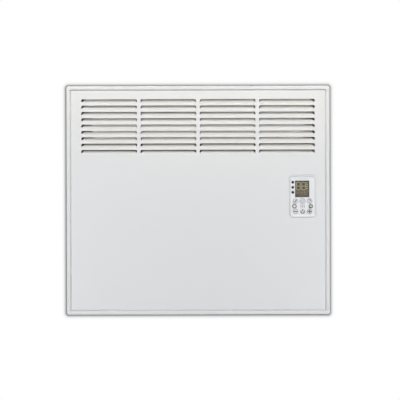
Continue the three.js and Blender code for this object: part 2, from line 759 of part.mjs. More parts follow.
function wallSpacers(heater) {
  const form = turn([
    [0, CASING_INNER_Y - FIT - SPACER_BARB_HEIGHT],
    [SPACER_STEM_RADIUS, CASING_INNER_Y - FIT - SPACER_BARB_HEIGHT],
    [SPACER_STEM_RADIUS + SPACER_BARB, CASING_INNER_Y - FIT],
    [SPACER_STEM_RADIUS, CASING_INNER_Y - FIT],
    [SPACER_STEM_RADIUS, CASING_BACK_Y + FIT],
    [SPACER_BASE_RADIUS, CASING_BACK_Y + FIT],
    [SPACER_TIP_RADIUS, 0],
    [0, 0],
  ]);
  Object.entries(spacerPlaces()).forEach(([side, place]) => {
    const spacer = piece(heater, `wall_spacer_${side}`, form, GREY_PLASTIC);
    spacer.position.set(place.x, 0, place.z);
  });
}

// ---- Wall rail -----------------------------------------------------------------------

function railHook(side) {
  const legEnd = CASING_INNER_Y - HOOK_CLEARANCE - RAIL_SHEET;
  const root = CASING_BACK_Y + RAIL_CASING_GAP + RAIL_SHEET;
  const shape = polygon([
    [root, RAIL_TOP_Z - RAIL_SHEET],
    [root, RAIL_TOP_Z],
    [legEnd + RAIL_SHEET, RAIL_TOP_Z],
    [legEnd + RAIL_SHEET, RAIL_TOP_Z + HOOK_LIP],
    [legEnd, RAIL_TOP_Z + HOOK_LIP],
    [legEnd, RAIL_TOP_Z - RAIL_SHEET],
  ]);
  return extrudeX(shape, side * HOOK_X - HOOK_WIDTH / 2, HOOK_WIDTH);
}

function railSlots() {
  const outline = rectangle(RAIL_SLOT_WIDTH / 2, RAIL_SLOT_LENGTH / 2, RAIL_SLOT_WIDTH / 2);
  const slots = [];
  for (const right of [-1, 1]) {
    for (const up of [-1, 1]) {
      const slot = extrudeY(outline, RAIL_SHEET, 3 * RAIL_SHEET);
      slots.push(slot.translate(right * RAIL_SLOT_X, 0, (up * RAIL_SLOT_SPACING_Z) / 2));
    }
  }
  return slots;
}

function wallRail(assembly) {
  const front = CASING_BACK_Y + RAIL_CASING_GAP;
  const channel = bentSheet([
    [front, -RAIL_TOP_Z],
    [0, -RAIL_TOP_Z],
    [0, RAIL_TOP_Z],
    [front, RAIL_TOP_Z],
  ], RAIL_SHEET);
  const rail = extrudeX(channel, -RAIL_LENGTH / 2, RAIL_LENGTH);
  const hooked = join([rail, railHook(-1), railHook(1)]);
  piece(assembly, 'wall_rail', cut(hooked, railSlots()), ZINC_SHEET);
}

// ---- Control unit --------------------------------------------------------------------

function bezelShell() {
  const ring = (sideInset, endInset, y, radius) => roundedRing(
    BEZEL_WIDTH / 2 - sideInset,
    BEZEL_HEIGHT / 2 - endInset,
    radius,
    y,
  );
  const even = (inset, y) => ring(inset, inset, y, BEZEL_CORNER - inset);
  const faceCorner = BEZEL_CORNER - BEZEL_RIM - BEZEL_SIDE_SLOPE;
  const inner = SKIRT_INSET + SKIRT_WALL;
  return loft([
    ring(BEZEL_RIM + BEZEL_SIDE_SLOPE, BEZEL_RIM + BEZEL_END_SLOPE, FACE_Y, faceCorner),
    even(BEZEL_RIM, -BEZEL_PROUD),
    even(BEZEL_RIM_CHAMFER, -BEZEL_PROUD),
    even(0, BEZEL_RIM_CHAMFER - BEZEL_PROUD),
    even(0, -FIT),
    even(SKIRT_INSET, -FIT),
    even(SKIRT_INSET, SKIRT_DEPTH),
    even(inner, SKIRT_DEPTH),
    even(inner, FACE_BACK_Y),
  ]);
}

// The crescent grip: a shallow raised segment that hangs from the top slope.
function gripLip() {
  const half = LIP_WIDTH / 2;
  const radius = (half * half + LIP_DROP * LIP_DROP) / (2 * LIP_DROP);
  const top = BEZEL_HEIGHT / 2 - BEZEL_RIM - BEZEL_END_SLOPE + BEZEL_DISH / 2;
  const spread = Math.asin(half / radius);
  const shape = new THREE.Shape();
  shape.absarc(0, top - LIP_DROP + radius, radius, -Math.PI / 2 - spread, -Math.PI / 2 + spread);
  return extrudeY(shape, FACE_Y + BEZEL_WALL / 2, LIP_RISE + BEZEL_WALL / 2);
}

function buttonPlaces() {
  const left = -BUTTON_COLUMN;
  const right = BUTTON_COLUMN;
  const middle = BUTTON_TOP_Z - BUTTON_ROW_PITCH;
  const bottom = middle - BUTTON_ROW_PITCH;
  return {
    boost: at(left, 0, BUTTON_TOP_Z),
    timer: at(right, 0, BUTTON_TOP_Z),
    comfort: at(left - BUTTON_SPREAD, 0, middle),
    clock: at(right + BUTTON_SPREAD, 0, middle),
    minus: at(left, 0, bottom),
    power: at(0, 0, bottom),
    plus: at(right, 0, bottom),
  };
}

function lampPlaces() {
  const places = [];
  for (let index = 0; index < LAMP_COUNT; index += 1) {
    places.push(at(LAMP_X, 0, LAMP_TOP_Z - index * LAMP_PITCH));
  }
  return places;
}

function holeThrough(radius, place) {
  const hole = disc(radius, -BEZEL_PROUD, FACE_BACK_Y + BEZEL_WALL, BUTTON_FACETS);
  return moved(hole, place.x, 0, place.z);
}

function controlBezel(unit) {
  const buttons = Object.values(buttonPlaces());
  const windowHole = rectangle(WINDOW_WIDTH / 2 + FIT, WINDOW_HEIGHT / 2 + FIT, FIT);
  const window = extrudeY(windowHole, FACE_BACK_Y + BEZEL_WALL, 3 * BEZEL_WALL);
  const tools = [
    window.translate(WINDOW_X, 0, WINDOW_Z),
    ...buttons.map((place) => holeThrough(BUTTON_RADIUS + BUTTON_CLEARANCE, place)),
    ...lampPlaces().map((place) => holeThrough(LAMP_RADIUS + FIT, place)),
    holeThrough(RECEIVER_RADIUS + FIT, at(0, 0, BUTTON_TOP_Z)),
  ];
  const geometry = cut(join([bezelShell(), gripLip()]), tools);
  piece(unit, 'control_bezel', geometry, WHITE_PLASTIC);
}

function controlHousing(unit) {
  const ring = (inset, y) => roundedRing(
    HOUSING_HALF_WIDTH - inset,
    HOUSING_HALF_HEIGHT - inset,
    BEZEL_CORNER - SKIRT_INSET + FIT + HOUSING_WALL - inset,
    y,
  );
  const front = PANEL_SHEET + FIT;
  const tray = loft([
    ring(0, HOUSING_DEPTH),
    ring(0, front),
    ring(HOUSING_WALL, front),
    ring(HOUSING_WALL, HOUSING_DEPTH - HOUSING_WALL),
  ]);
  const postX = displayBoardSize().halfWidth - POST_RADIUS;
  const postZ = displayBoardSize().halfHeight - POST_RADIUS;
  const posts = [];
  for (const right of [-1, 1]) {
    for (const up of [-1, 1]) {
      const root = HOUSING_DEPTH - HOUSING_WALL / 2;
      const post = disc(POST_RADIUS, BOARD_BACK_Y + FIT, root, SMALL_FACETS);
      posts.push(post.translate(right * postX, 0, up * postZ));
    }
  }
  piece(unit, 'control_housing', join([tray, ...posts]), BLACK_PLASTIC);
}

function displayBoardSize() {
  const inset = SKIRT_INSET + SKIRT_WALL + BOARD_GAP;
  return { halfWidth: BEZEL_WIDTH / 2 - inset, halfHeight: BEZEL_HEIGHT / 2 - inset };
}

function displayBoard(unit) {
  const { halfWidth, halfHeight } = displayBoardSize();
  const board = extrudeY(rectangle(halfWidth, halfHeight, POST_RADIUS), BOARD_BACK_Y, BOARD_THICKNESS);
  piece(unit, 'display_board', board, BOARD_GREEN);
}

function displayWindow(unit) {
  const halfWidth = WINDOW_WIDTH / 2;
  const halfHeight = WINDOW_HEIGHT / 2;
  const front = FACE_Y + WINDOW_RECESS;
  const pane = extrudeY(rectangle(halfWidth, halfHeight, FIT), COLLAR_BACK_Y, COLLAR_BACK_Y - front);
  const edge = HIDDEN_FLANGE;
  const flange = extrudeY(rectangle(halfWidth + edge, halfHeight + edge, FIT), COLLAR_BACK_Y, edge);
  const window = piece(unit, 'display_window', join([pane, flange]), SMOKED_WINDOW);
  window.position.set(WINDOW_X, 0, WINDOW_Z);
}

function displayModule(unit) {
  const module = extrudeY(
    rectangle(WINDOW_WIDTH / 2, WINDOW_HEIGHT / 2, FIT),
    MODULE_Y + MODULE_DEPTH,
    MODULE_DEPTH,
  );
  const display = piece(unit, 'display_module', module, BLACK_PLASTIC);
  display.position.set(WINDOW_X, 0, WINDOW_Z);
}

// A lens seated behind the face by its flange, with a stem that reaches the board.
function lensForm(radius, stemRadius, front, facets) {
  const flange = radius + FIT + HIDDEN_FLANGE / 2;
  return turn([
    [0, front],
    [radius - BUTTON_EDGE, front],
    [radius, front + BUTTON_EDGE],
    [radius, COLLAR_Y],
    [flange, COLLAR_Y],
    [flange, COLLAR_BACK_Y],
    [stemRadius, COLLAR_BACK_Y],
    [stemRadius, BOARD_Y - FIT],
    [0, BOARD_Y - FIT],
  ], facets);
}

function statusLamps(unit) {
  const form = lensForm(LAMP_RADIUS, LAMP_STEM_RADIUS, FACE_Y - FIT, BUTTON_FACETS);
  lampPlaces().forEach((place, index) => {
    const lamp = piece(unit, `status_lamp_${index + 1}`, form, DARK_LENS);
    lamp.position.copy(place);
  });
}

function receiverLens(unit) {
  const form = lensForm(RECEIVER_RADIUS, RECEIVER_STEM_RADIUS, FACE_Y - FIT, BUTTON_FACETS);
  const lens = piece(unit, 'receiver_lens', form, PALE_LENS);
  lens.position.set(0, 0, BUTTON_TOP_Z);
}

function buttonForm() {
  const front = FACE_Y - BUTTON_PROUD;
  const collar = BUTTON_RADIUS + BUTTON_CLEARANCE + BUTTON_COLLAR;
  return turn([
    [0, front],
    [BUTTON_RADIUS - BUTTON_EDGE, front],
    [BUTTON_RADIUS, front + BUTTON_EDGE],
    [BUTTON_RADIUS, COLLAR_Y],
    [collar, COLLAR_Y],
    [collar, COLLAR_BACK_Y],
    [0, COLLAR_BACK_Y],
  ], BUTTON_FACETS);
}

// The small switch on the board that a button presses.
function switchForm() {
  const half = SWITCH_SIZE / 2;
  const seat = BOARD_Y - FIT;
  const body = block(at(-half, seat - SWITCH_BODY, -half), at(half, seat, half));
  const top = COLLAR_BACK_Y + BUTTON_TRAVEL + FIT;
  return join([body, disc(SWITCH_PLUNGER_RADIUS, top, seat - SWITCH_BODY / 2, SMALL_FACETS)]);
}

function buttonsAndSwitches(unit) {
  const button = buttonForm();
  const contact = switchForm();
  Object.entries(buttonPlaces()).forEach(([use, place]) => {
    piece(unit, `button_${use}`, button, WHITE_PLASTIC).position.copy(place);
    piece(unit, `switch_${use}`, contact, BLACK_PLASTIC).position.copy(place);
  });
}

function controlUnit(heater) {
  const unit = new THREE.Group();
  unit.position.set(CONTROL_X, FIELD_Y, CONTROL_ABOVE_CENTRE);
  controlBezel(unit);
  controlHousing(unit);
  displayBoard(unit);
  displayWindow(unit);
  displayModule(unit);
  statusLamps(unit);
  receiverLens(unit);
  buttonsAndSwitches(unit);
  heater.add(unit);
}

// ---- Air guides ----------------------------------------------------------------------

// A flat reflector held off the casing's back by folded feet along its two sides.
function heatShield(heater) {
  const left = ELEMENT_LEFT + SHIELD_SIDE_INSET;
  const right = ELEMENT_RIGHT - SHIELD_SIDE_INSET;
  const seat = CASING_INNER_Y - FIT;
  const section = bentSheet([
    [right, seat - SHIELD_SHEET],
    [right - SHIELD_FOOT, seat - SHIELD_SHEET],
    [right - SHIELD_FOOT, SHIELD_Y - SHIELD_SHEET],
    [left + SHIELD_FOOT, SHIELD_Y - SHIELD_SHEET],
    [left + SHIELD_FOOT, seat - SHIELD_SHEET],
    [left, seat - SHIELD_SHEET],
  ].reverse(), SHIELD_SHEET);
  const start = -CASING_INNER_HALF_HEIGHT + SHIELD_ABOVE_FLOOR;
  piece(heater, 'heat_shield', extrudeZ(section, start, SHIELD_HEIGHT), BRIGHT_ALUMINIUM);
}

// A sheet that leaves the casing's back and turns the rising air to the louvres.
function airDeflector(heater) {
  const seat = CASING_INNER_Y - FIT;
  const footTop = DEFLECTOR_START + DEFLECTOR_FOOT;
  const front = FIELD_Y + LOUVRE_DEPTH + PANEL_SHEET + DEFLECTOR_LOUVRE_GAP;
  const top = CASING_INNER_HALF_HEIGHT - DEFLECTOR_TOP_GAP;
  const section = bentSheet([
    [seat, DEFLECTOR_START],
    [seat, footTop],
    [seat - DEFLECTOR_RUN, footTop + DEFLECTOR_RISE],
    [front, top],
  ], DEFLECTOR_SHEET);
  const half = CASING_FLAT_HALF_WIDTH - DEFLECTOR_SIDE_GAP;
  piece(heater, 'air_deflector', extrudeX(section, -half, 2 * half), BRIGHT_ALUMINIUM);
}

// The wall between the heated space and the boards, folded over them at its top.
function partition(heater) {
  const right = CASING_FLAT_HALF_WIDTH - PARTITION_SIDE_GAP;
  const bottom = -CASING_FLAT_HALF_HEIGHT + FIT;
  const section = bentSheet([
    [PARTITION_X, bottom],
    [PARTITION_X, PARTITION_TOP],
    [right, PARTITION_TOP],
  ].reverse(), PARTITION_SHEET);
  const back = CASING_INNER_Y - FIT;
  const front = CASING_FRONT_Y + PARTITION_FRONT_GAP;
  const wall = extrudeY(section, back, back - front);
  const foot = block(
    at(PARTITION_X - PARTITION_FOOT, back - PARTITION_SHEET, bottom),
    at(PARTITION_X, back, PARTITION_TOP),
  );
  piece(heater, 'partition', join([wall, foot]), ZINC_SHEET);
}

// ---- Heating element -----------------------------------------------------------------

// Four arms round a tube that holds the rod, each ending in a stub fin.
function elementSection() {
  const reachY = ELEMENT_DEPTH / 2;
  const reachZ = ELEMENT_HEIGHT / 2;
  const slope = Math.atan2(reachZ, reachY);
  const halfAngle = Math.asin(ELEMENT_ARM / (2 * ELEMENT_CORE_RADIUS));
  const shape = new THREE.Shape();
  const quadrants = [slope, Math.PI - slope, Math.PI + slope, 2 * Math.PI - slope];
  quadrants.forEach((angle, index) => {
    const along = new THREE.Vector2(Math.cos(angle), Math.sin(angle));
    const across = leftOf(along);
    const end = new THREE.Vector2(along.x * reachY, along.y * reachZ).length();
    const point = (run, offset) => along.clone().multiplyScalar(run).addScaledVector(across, offset);
    const half = ELEMENT_ARM / 2;
    const fin = ELEMENT_FIN / 2;
    const outline = [
      point(end - ELEMENT_ARM, -half),
      point(end - ELEMENT_ARM, -fin),
      point(end, -fin),
      point(end, fin),
      point(end - ELEMENT_ARM, fin),
      point(end - ELEMENT_ARM, half),
    ];
    const next = quadrants[(index + 1) % quadrants.length] + (index === 3 ? 2 * Math.PI : 0);
    if (index === 0) {
      const start = point(ELEMENT_CORE_RADIUS * Math.cos(halfAngle), -half);
      shape.moveTo(start.x, start.y);
    }
    outline.forEach((corner) => shape.lineTo(corner.x, corner.y));
    shape.absarc(0, 0, ELEMENT_CORE_RADIUS, angle + halfAngle, next - halfAngle);
  });
  const bore = new THREE.Path();
  bore.absarc(0, 0, ROD_RADIUS + ELEMENT_BORE_CLEARANCE, 0, 2 * Math.PI, true);
  shape.holes.push(bore);
  return shape;
}

function heatingElement(heater) {
  const length = ELEMENT_RIGHT - ELEMENT_LEFT;
  const fins = new THREE.ExtrudeGeometry(elementSection(), extrusion(length, 2 * ARC_STEPS));
  fins.applyMatrix4(new THREE.Matrix4().makeBasis(TO_WALL, UPWARDS, TO_RIGHT));
  fins.translate(ELEMENT_LEFT, ELEMENT_Y, ELEMENT_CENTRE_Z);
  piece(heater, 'element_fins', fins, CAST_FIN);
  const rodEnd = length / 2 + ROD_OVERHANG;
  const rod = turn([
    [0, -rodEnd - TERMINAL_LENGTH],
    [TERMINAL_RADIUS, -rodEnd - TERMINAL_LENGTH],
    [TERMINAL_RADIUS, -rodEnd],
    [ROD_RADIUS, -rodEnd],
    [ROD_RADIUS, rodEnd],
    [TERMINAL_RADIUS, rodEnd],
    [TERMINAL_RADIUS, rodEnd + TERMINAL_LENGTH],
    [0, rodEnd + TERMINAL_LENGTH],
  ], SMALL_FACETS);
  rod.rotateZ(-Math.PI / 2);
  rod.translate((ELEMENT_LEFT + ELEMENT_RIGHT) / 2, ELEMENT_Y, ELEMENT_CENTRE_Z);
  piece(heater, 'heating_rod', rod, SHEATH_STEEL);
}

// A grooved ceramic bush on the rod, and the bent stay whose hole sits in its groove.
function elementSupport(heater, side, endX, outward) {
  const inner = BUSH_END_GAP;
  const grooveStart = inner + (BUSH_LENGTH - BUSH_GROOVE) / 2;
  const bore = ROD_RADIUS + ELEMENT_BORE_CLEARANCE;
  const bush = turn([
    [bore, inner],
    [BUSH_FLANGE_RADIUS, inner],
    [BUSH_FLANGE_RADIUS, grooveStart],
    [BUSH_NECK_RADIUS, grooveStart],
    [BUSH_NECK_RADIUS, grooveStart + BUSH_GROOVE],
    [BUSH_FLANGE_RADIUS, grooveStart + BUSH_GROOVE],
    [BUSH_FLANGE_RADIUS, inner + BUSH_LENGTH],
    [bore, inner + BUSH_LENGTH],
    [bore, inner],
  ]);
  bush.rotateZ(outward * (-Math.PI / 2));
  bush.translate(endX, ELEMENT_Y, ELEMENT_CENTRE_Z);
  piece(heater, `element_bush_${side}`, bush, CERAMIC);

  const plateX = endX + outward * (grooveStart + BUSH_GROOVE / 2);
  const front = ELEMENT_Y - STAY_HEAD;
  const back = CASING_INNER_Y - FIT;
  const half = STAY_HEIGHT / 2;
  const plate = block(
    at(plateX - STAY_SHEET / 2, front, ELEMENT_CENTRE_Z - half),
    at(plateX + STAY_SHEET / 2, back, ELEMENT_CENTRE_Z + half),
  );
  const footReach = outward * STAY_FOOT;
  const foot = block(
    at(Math.min(plateX, plateX + footReach), back - STAY_SHEET, ELEMENT_CENTRE_Z - half),
    at(Math.max(plateX, plateX + footReach), back, ELEMENT_CENTRE_Z + half),
  );
  const hole = disc(BUSH_NECK_RADIUS + FIT, -STAY_SHEET, STAY_SHEET);
  hole.rotateZ(Math.PI / 2);
  hole.translate(plateX, ELEMENT_Y, ELEMENT_CENTRE_Z);
  piece(heater, `element_stay_${side}`, cut(join([plate, foot]), [hole]), ZINC_SHEET);
}

// ---- Overheat cut-out and room sensor ------------------------------------------------

function overheatCutOut(heater) {
  const seat = SHIELD_Y - SHIELD_SHEET - FIT;
  const plateFront = seat - CUTOUT_FLANGE_SHEET;
  const plate = extrudeY(
    rectangle(CUTOUT_FLANGE_WIDTH / 2, CUTOUT_FLANGE_HEIGHT / 2, CUTOUT_FLANGE_HEIGHT / 3),
    seat,
    CUTOUT_FLANGE_SHEET,
  );
  const body = disc(CUTOUT_RADIUS, plateFront - CUTOUT_BODY, seat - CUTOUT_FLANGE_SHEET / 2);
  const tabs = [-1, 1].map((side) => {
    const x = (side * CUTOUT_RADIUS) / 2;
    const tabFront = plateFront - CUTOUT_BODY - CUTOUT_TAB_LENGTH;
    const half = CUTOUT_TAB_WIDTH / 2;
    const low = at(x - CUTOUT_TAB_SHEET / 2, tabFront, -half);
    return block(low, at(x + CUTOUT_TAB_SHEET / 2, plateFront - CUTOUT_BODY / 2, half));
  });
  const cutOut = piece(heater, 'overheat_cut_out', join([plate, body, ...tabs]), BLACK_PLASTIC);
  cutOut.position.set(CUTOUT_X, 0, CUTOUT_Z);
}

function roomSensor(heater) {
  const x = CASING_INNER_HALF_WIDTH - SENSOR_EDGE_MARGIN;
  const y = CASING_INNER_Y - SENSOR_CLIP_HEIGHT;
  const z = -CASING_INNER_HALF_HEIGHT + SENSOR_ABOVE_FLOOR;
  const outer = SENSOR_RADIUS + FIT + SENSOR_CLIP_WALL;
  const half = SENSOR_CLIP_LENGTH / 2;
  const stem = block(at(-half, y, -SENSOR_CLIP_WALL), at(half, CASING_INNER_Y - FIT, SENSOR_CLIP_WALL));
  const eye = disc(outer, -half, half).rotateZ(Math.PI / 2).translate(0, y, 0);
  const bore = disc(SENSOR_RADIUS + FIT, -SENSOR_CLIP_LENGTH, SENSOR_CLIP_LENGTH);
  bore.rotateZ(Math.PI / 2).translate(0, y, 0);
  const clip = piece(heater, 'sensor_clip', cut(join([stem, eye]), [bore]), WHITE_PLASTIC);
  clip.position.set(x, 0, z);
  const probe = disc(SENSOR_RADIUS, -SENSOR_LENGTH / 2, SENSOR_LENGTH / 2, SMALL_FACETS);
  const sensor = piece(heater, 'room_sensor', probe.rotateZ(Math.PI / 2), BLACK_PLASTIC);
  sensor.position.set(x, y, z);
}

// ---- Power board ---------------------------------------------------------------------

// A shallow plastic tray on the casing's back, with a post under each board corner.
function boardCarrier(heater) {
  const halfWidth = POWER_BOARD_WIDTH / 2 + BOARD_GAP + CARRIER_WALL;
  const halfHeight = POWER_BOARD_HEIGHT / 2 + BOARD_GAP + CARRIER_WALL;
  const seat = CASING_INNER_Y - FIT;
  const rim = seat - POWER_BOARD_STANDOFF - CARRIER_RIM;
  const ring = (inset, y) => roundedRing(halfWidth - inset, halfHeight - inset, CARRIER_RIM - inset, y);
  const tray = loft([
    ring(0, seat),
    ring(0, rim),
    ring(CARRIER_WALL, rim),
    ring(CARRIER_WALL, seat - CARRIER_WALL),
  ]);
  const posts = [];
  for (const right of [-1, 1]) {
    for (const up of [-1, 1]) {
      const top = seat - POWER_BOARD_STANDOFF + FIT;
      const post = disc(POST_RADIUS, top, seat - CARRIER_WALL / 2, SMALL_FACETS);
      const x = right * (POWER_BOARD_WIDTH / 2 - BOARD_EDGE);
      posts.push(post.translate(x, 0, up * (POWER_BOARD_HEIGHT / 2 - BOARD_EDGE)));
    }
  }
  const carrier = piece(heater, 'board_carrier', join([tray, ...posts]), GREY_PLASTIC);
  carrier.position.set(COMPARTMENT_X, 0, POWER_BOARD_Z);
}

function powerBoard(heater) {
  const back = CASING_INNER_Y - FIT - POWER_BOARD_STANDOFF;
  const front = back - BOARD_THICKNESS;
  const seat = front - FIT;
  const group = new THREE.Group();
  group.position.set(COMPARTMENT_X, 0, POWER_BOARD_Z);
  const halfWidth = POWER_BOARD_WIDTH / 2;
  const halfHeight = POWER_BOARD_HEIGHT / 2;
  const board = extrudeY(rectangle(halfWidth, halfHeight, POST_RADIUS), back, BOARD_THICKNESS);
  piece(group, 'power_board', board, BOARD_GREEN);

  const component = (name, width, height, depth, x, z, material) => {
    const box = extrudeY(rectangle(width / 2, height / 2, FIT), seat, depth);
    piece(group, name, box, material).position.set(x, 0, z);
  };
  const relayX = -halfWidth + BOARD_EDGE + RELAY_WIDTH / 2;
  const upperZ = halfHeight - 2 * BOARD_EDGE;
  const relayZ = upperZ - RELAY_HEIGHT / 2;
  const coreZ = upperZ - RELAY_HEIGHT - BOARD_EDGE - TRANSFORMER_HEIGHT / 2;
  component('heat_relay', RELAY_WIDTH, RELAY_HEIGHT, RELAY_DEPTH, relayX, relayZ, RELAY_BLUE);
  component(
    'board_transformer',
    TRANSFORMER_WIDTH,
    TRANSFORMER_HEIGHT,
    TRANSFORMER_DEPTH,
    0,
    coreZ,
    BLACK_PLASTIC,
  );
  terminalBlock(group, seat, -halfHeight + BOARD_EDGE + TERMINAL_BLOCK_HEIGHT / 2);
  heater.add(group);
}

// A screw terminal strip, open to the cable from below.
function terminalBlock(group, seat, z) {
  const halfHeight = TERMINAL_BLOCK_HEIGHT / 2;
  const body = block(
    at(-TERMINAL_BLOCK_WIDTH / 2, seat - TERMINAL_BLOCK_DEPTH, -halfHeight),
    at(TERMINAL_BLOCK_WIDTH / 2, seat, halfHeight),
  );
  const pitch = TERMINAL_BLOCK_WIDTH / TERMINAL_WAYS;
  const ways = [];
  for (let way = 0; way < TERMINAL_WAYS; way += 1) {
    const hole = disc(TERMINAL_WAY_RADIUS, -TERMINAL_WAY_DEPTH, TERMINAL_WAY_DEPTH, SMALL_FACETS);
    hole.rotateX(Math.PI / 2);
    const x = (way - (TERMINAL_WAYS - 1) / 2) * pitch;
    ways.push(hole.translate(x, seat - TERMINAL_BLOCK_DEPTH / 2, -halfHeight));
  }
  piece(group, 'terminal_block', cut(body, ways), WHITE_PLASTIC).position.set(0, 0, z);
}

// ---- Cable inlet ---------------------------------------------------------------------

function bushPlace() {
  return at(CASING_HALF_WIDTH - INLET_BUSH_MARGIN, -INLET_BUSH_WALL_DISTANCE, -CASING_HALF_HEIGHT);
}

// A snap-in bush for the mains cable: its flange lies under the casing, and a tapered barb
// holds it from inside.
function cableBush(heater) {
  const neck = INLET_BUSH_RADIUS;
  const inside = CASING_SHEET + FIT;
  const body = turn([
    [INLET_BUSH_BORE, -FIT - INLET_BUSH_FLANGE],
    [neck + INLET_BUSH_RIM - INLET_BUSH_TAPER, -FIT - INLET_BUSH_FLANGE],
    [neck + INLET_BUSH_RIM, -FIT - INLET_BUSH_TAPER],
    [neck + INLET_BUSH_RIM, -FIT],
    [neck, -FIT],
    [neck, inside],
    [neck + INLET_BUSH_TAPER, inside],
    [neck - INLET_BUSH_TAPER, INLET_BUSH_LENGTH],
    [INLET_BUSH_BORE, INLET_BUSH_LENGTH],
    [INLET_BUSH_BORE, -FIT - INLET_BUSH_FLANGE],
  ]);
  body.rotateX(Math.PI / 2);
  piece(heater, 'cable_bush', body, BLACK_PLASTIC).position.copy(bushPlace());
}

// ---- Assembly ------------------------------------------------------------------------

function buildHeater() {
  const assembly = new THREE.Group();
  wallRail(assembly);
  const heater = new THREE.Group();
  heater.position.set(0, 0, -RAIL_DROP);
  frontPanel(heater);
  rearCasing(heater);
  casingScrews(heater);
  wallSpacers(heater);
  controlUnit(heater);
  heatShield(heater);
  airDeflector(heater);
  partition(heater);
  heatingElement(heater);
  elementSupport(heater, 'left', ELEMENT_LEFT, -1);
  elementSupport(heater, 'right', ELEMENT_RIGHT, 1);
  overheatCutOut(heater);
  roomSensor(heater);
  boardCarrier(heater);
  powerBoard(heater);
  cableBush(heater);
  assembly.add(heater);
  return assembly;
}

export default buildHeater();
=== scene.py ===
"""The looks of a wall panel convector heater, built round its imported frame.

Metres, +Z up. The wall is the plane y = 0 and the front faces -Y. Sizes that aren't read
from the frame are named on the class that uses them.
"""

import logging
import math
from dataclasses import dataclass, field, replace
from enum import Enum
from typing import Any, Callable, ClassVar, Optional, Sequence, Union

import bmesh
import bpy
from mathutils import Matrix, Vector


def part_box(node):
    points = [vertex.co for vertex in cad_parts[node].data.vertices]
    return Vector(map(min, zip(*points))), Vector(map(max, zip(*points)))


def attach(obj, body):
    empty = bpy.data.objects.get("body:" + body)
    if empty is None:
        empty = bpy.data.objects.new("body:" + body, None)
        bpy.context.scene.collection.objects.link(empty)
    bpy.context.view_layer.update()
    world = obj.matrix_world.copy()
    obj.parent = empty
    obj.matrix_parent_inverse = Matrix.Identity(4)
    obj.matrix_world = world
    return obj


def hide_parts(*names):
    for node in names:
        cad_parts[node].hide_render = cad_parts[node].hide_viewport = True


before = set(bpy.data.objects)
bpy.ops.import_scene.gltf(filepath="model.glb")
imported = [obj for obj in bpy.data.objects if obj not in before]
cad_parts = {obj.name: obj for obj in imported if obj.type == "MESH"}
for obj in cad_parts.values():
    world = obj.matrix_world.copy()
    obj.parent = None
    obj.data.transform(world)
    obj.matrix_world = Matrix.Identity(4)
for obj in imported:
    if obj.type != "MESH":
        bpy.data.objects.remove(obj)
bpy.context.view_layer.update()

LOG = logging.getLogger("heater")
MM = 0.001
WELD = 1e-6
HEATER = "heater"
FADE_BASE = 2.718

Point = tuple[float, float, float]
Colour = tuple[float, float, float]
Value = Union["Signal", float, int, Sequence[float]]


class Pattern(Enum):
    """How a bare metal's surface varies."""

    SPANGLE = "spangle"
    ROLLED = "rolled"
    DULL = "dull"
    TINTED = "tinted"


# ---- Shader nodes --------------------------------------------------------------------


def operator(operation: str, swapped: bool = False) -> Callable[["Signal", Value], "Signal"]:
    """Makes one of Signal's arithmetic methods.

    Args:
        operation: the Math node's operation.
        swapped: whether the signal is the second operand.

    Returns:
        The method.
    """

    def method(self: "Signal", other: Value) -> "Signal":
        """Adds the Math node and returns its result."""
        first, second = (other, self) if swapped else (self, other)
        return self.shading.node("ShaderNodeMath", {"operation": operation}, {0: first, 1: second})

    return method


class Signal:
    """A socket that takes part in arithmetic, adding the Math nodes it needs."""

    __add__, __radd__ = operator("ADD"), operator("ADD", swapped=True)
    __sub__, __rsub__ = operator("SUBTRACT"), operator("SUBTRACT", swapped=True)
    __mul__, __rmul__ = operator("MULTIPLY"), operator("MULTIPLY", swapped=True)
    __truediv__, __rtruediv__ = operator("DIVIDE"), operator("DIVIDE", swapped=True)
    __pow__, __rpow__ = operator("POWER"), operator("POWER", swapped=True)
    at_least, at_most = operator("MAXIMUM"), operator("MINIMUM")

    def __init__(self, shading: "Shading", socket: bpy.types.NodeSocket) -> None:
        """Wraps a socket.

        Args:
            shading: the node tree that the socket belongs to.
            socket: the output socket.
        """
        self.shading = shading
        self.socket = socket

    def size(self) -> "Signal":
        """The absolute value."""
        return self.shading.node("ShaderNodeMath", {"operation": "ABSOLUTE"}, {0: self})

    def clamped(self) -> "Signal":
        """The value, held between 0 and 1."""
        return self.at_least(0.0).at_most(1.0)


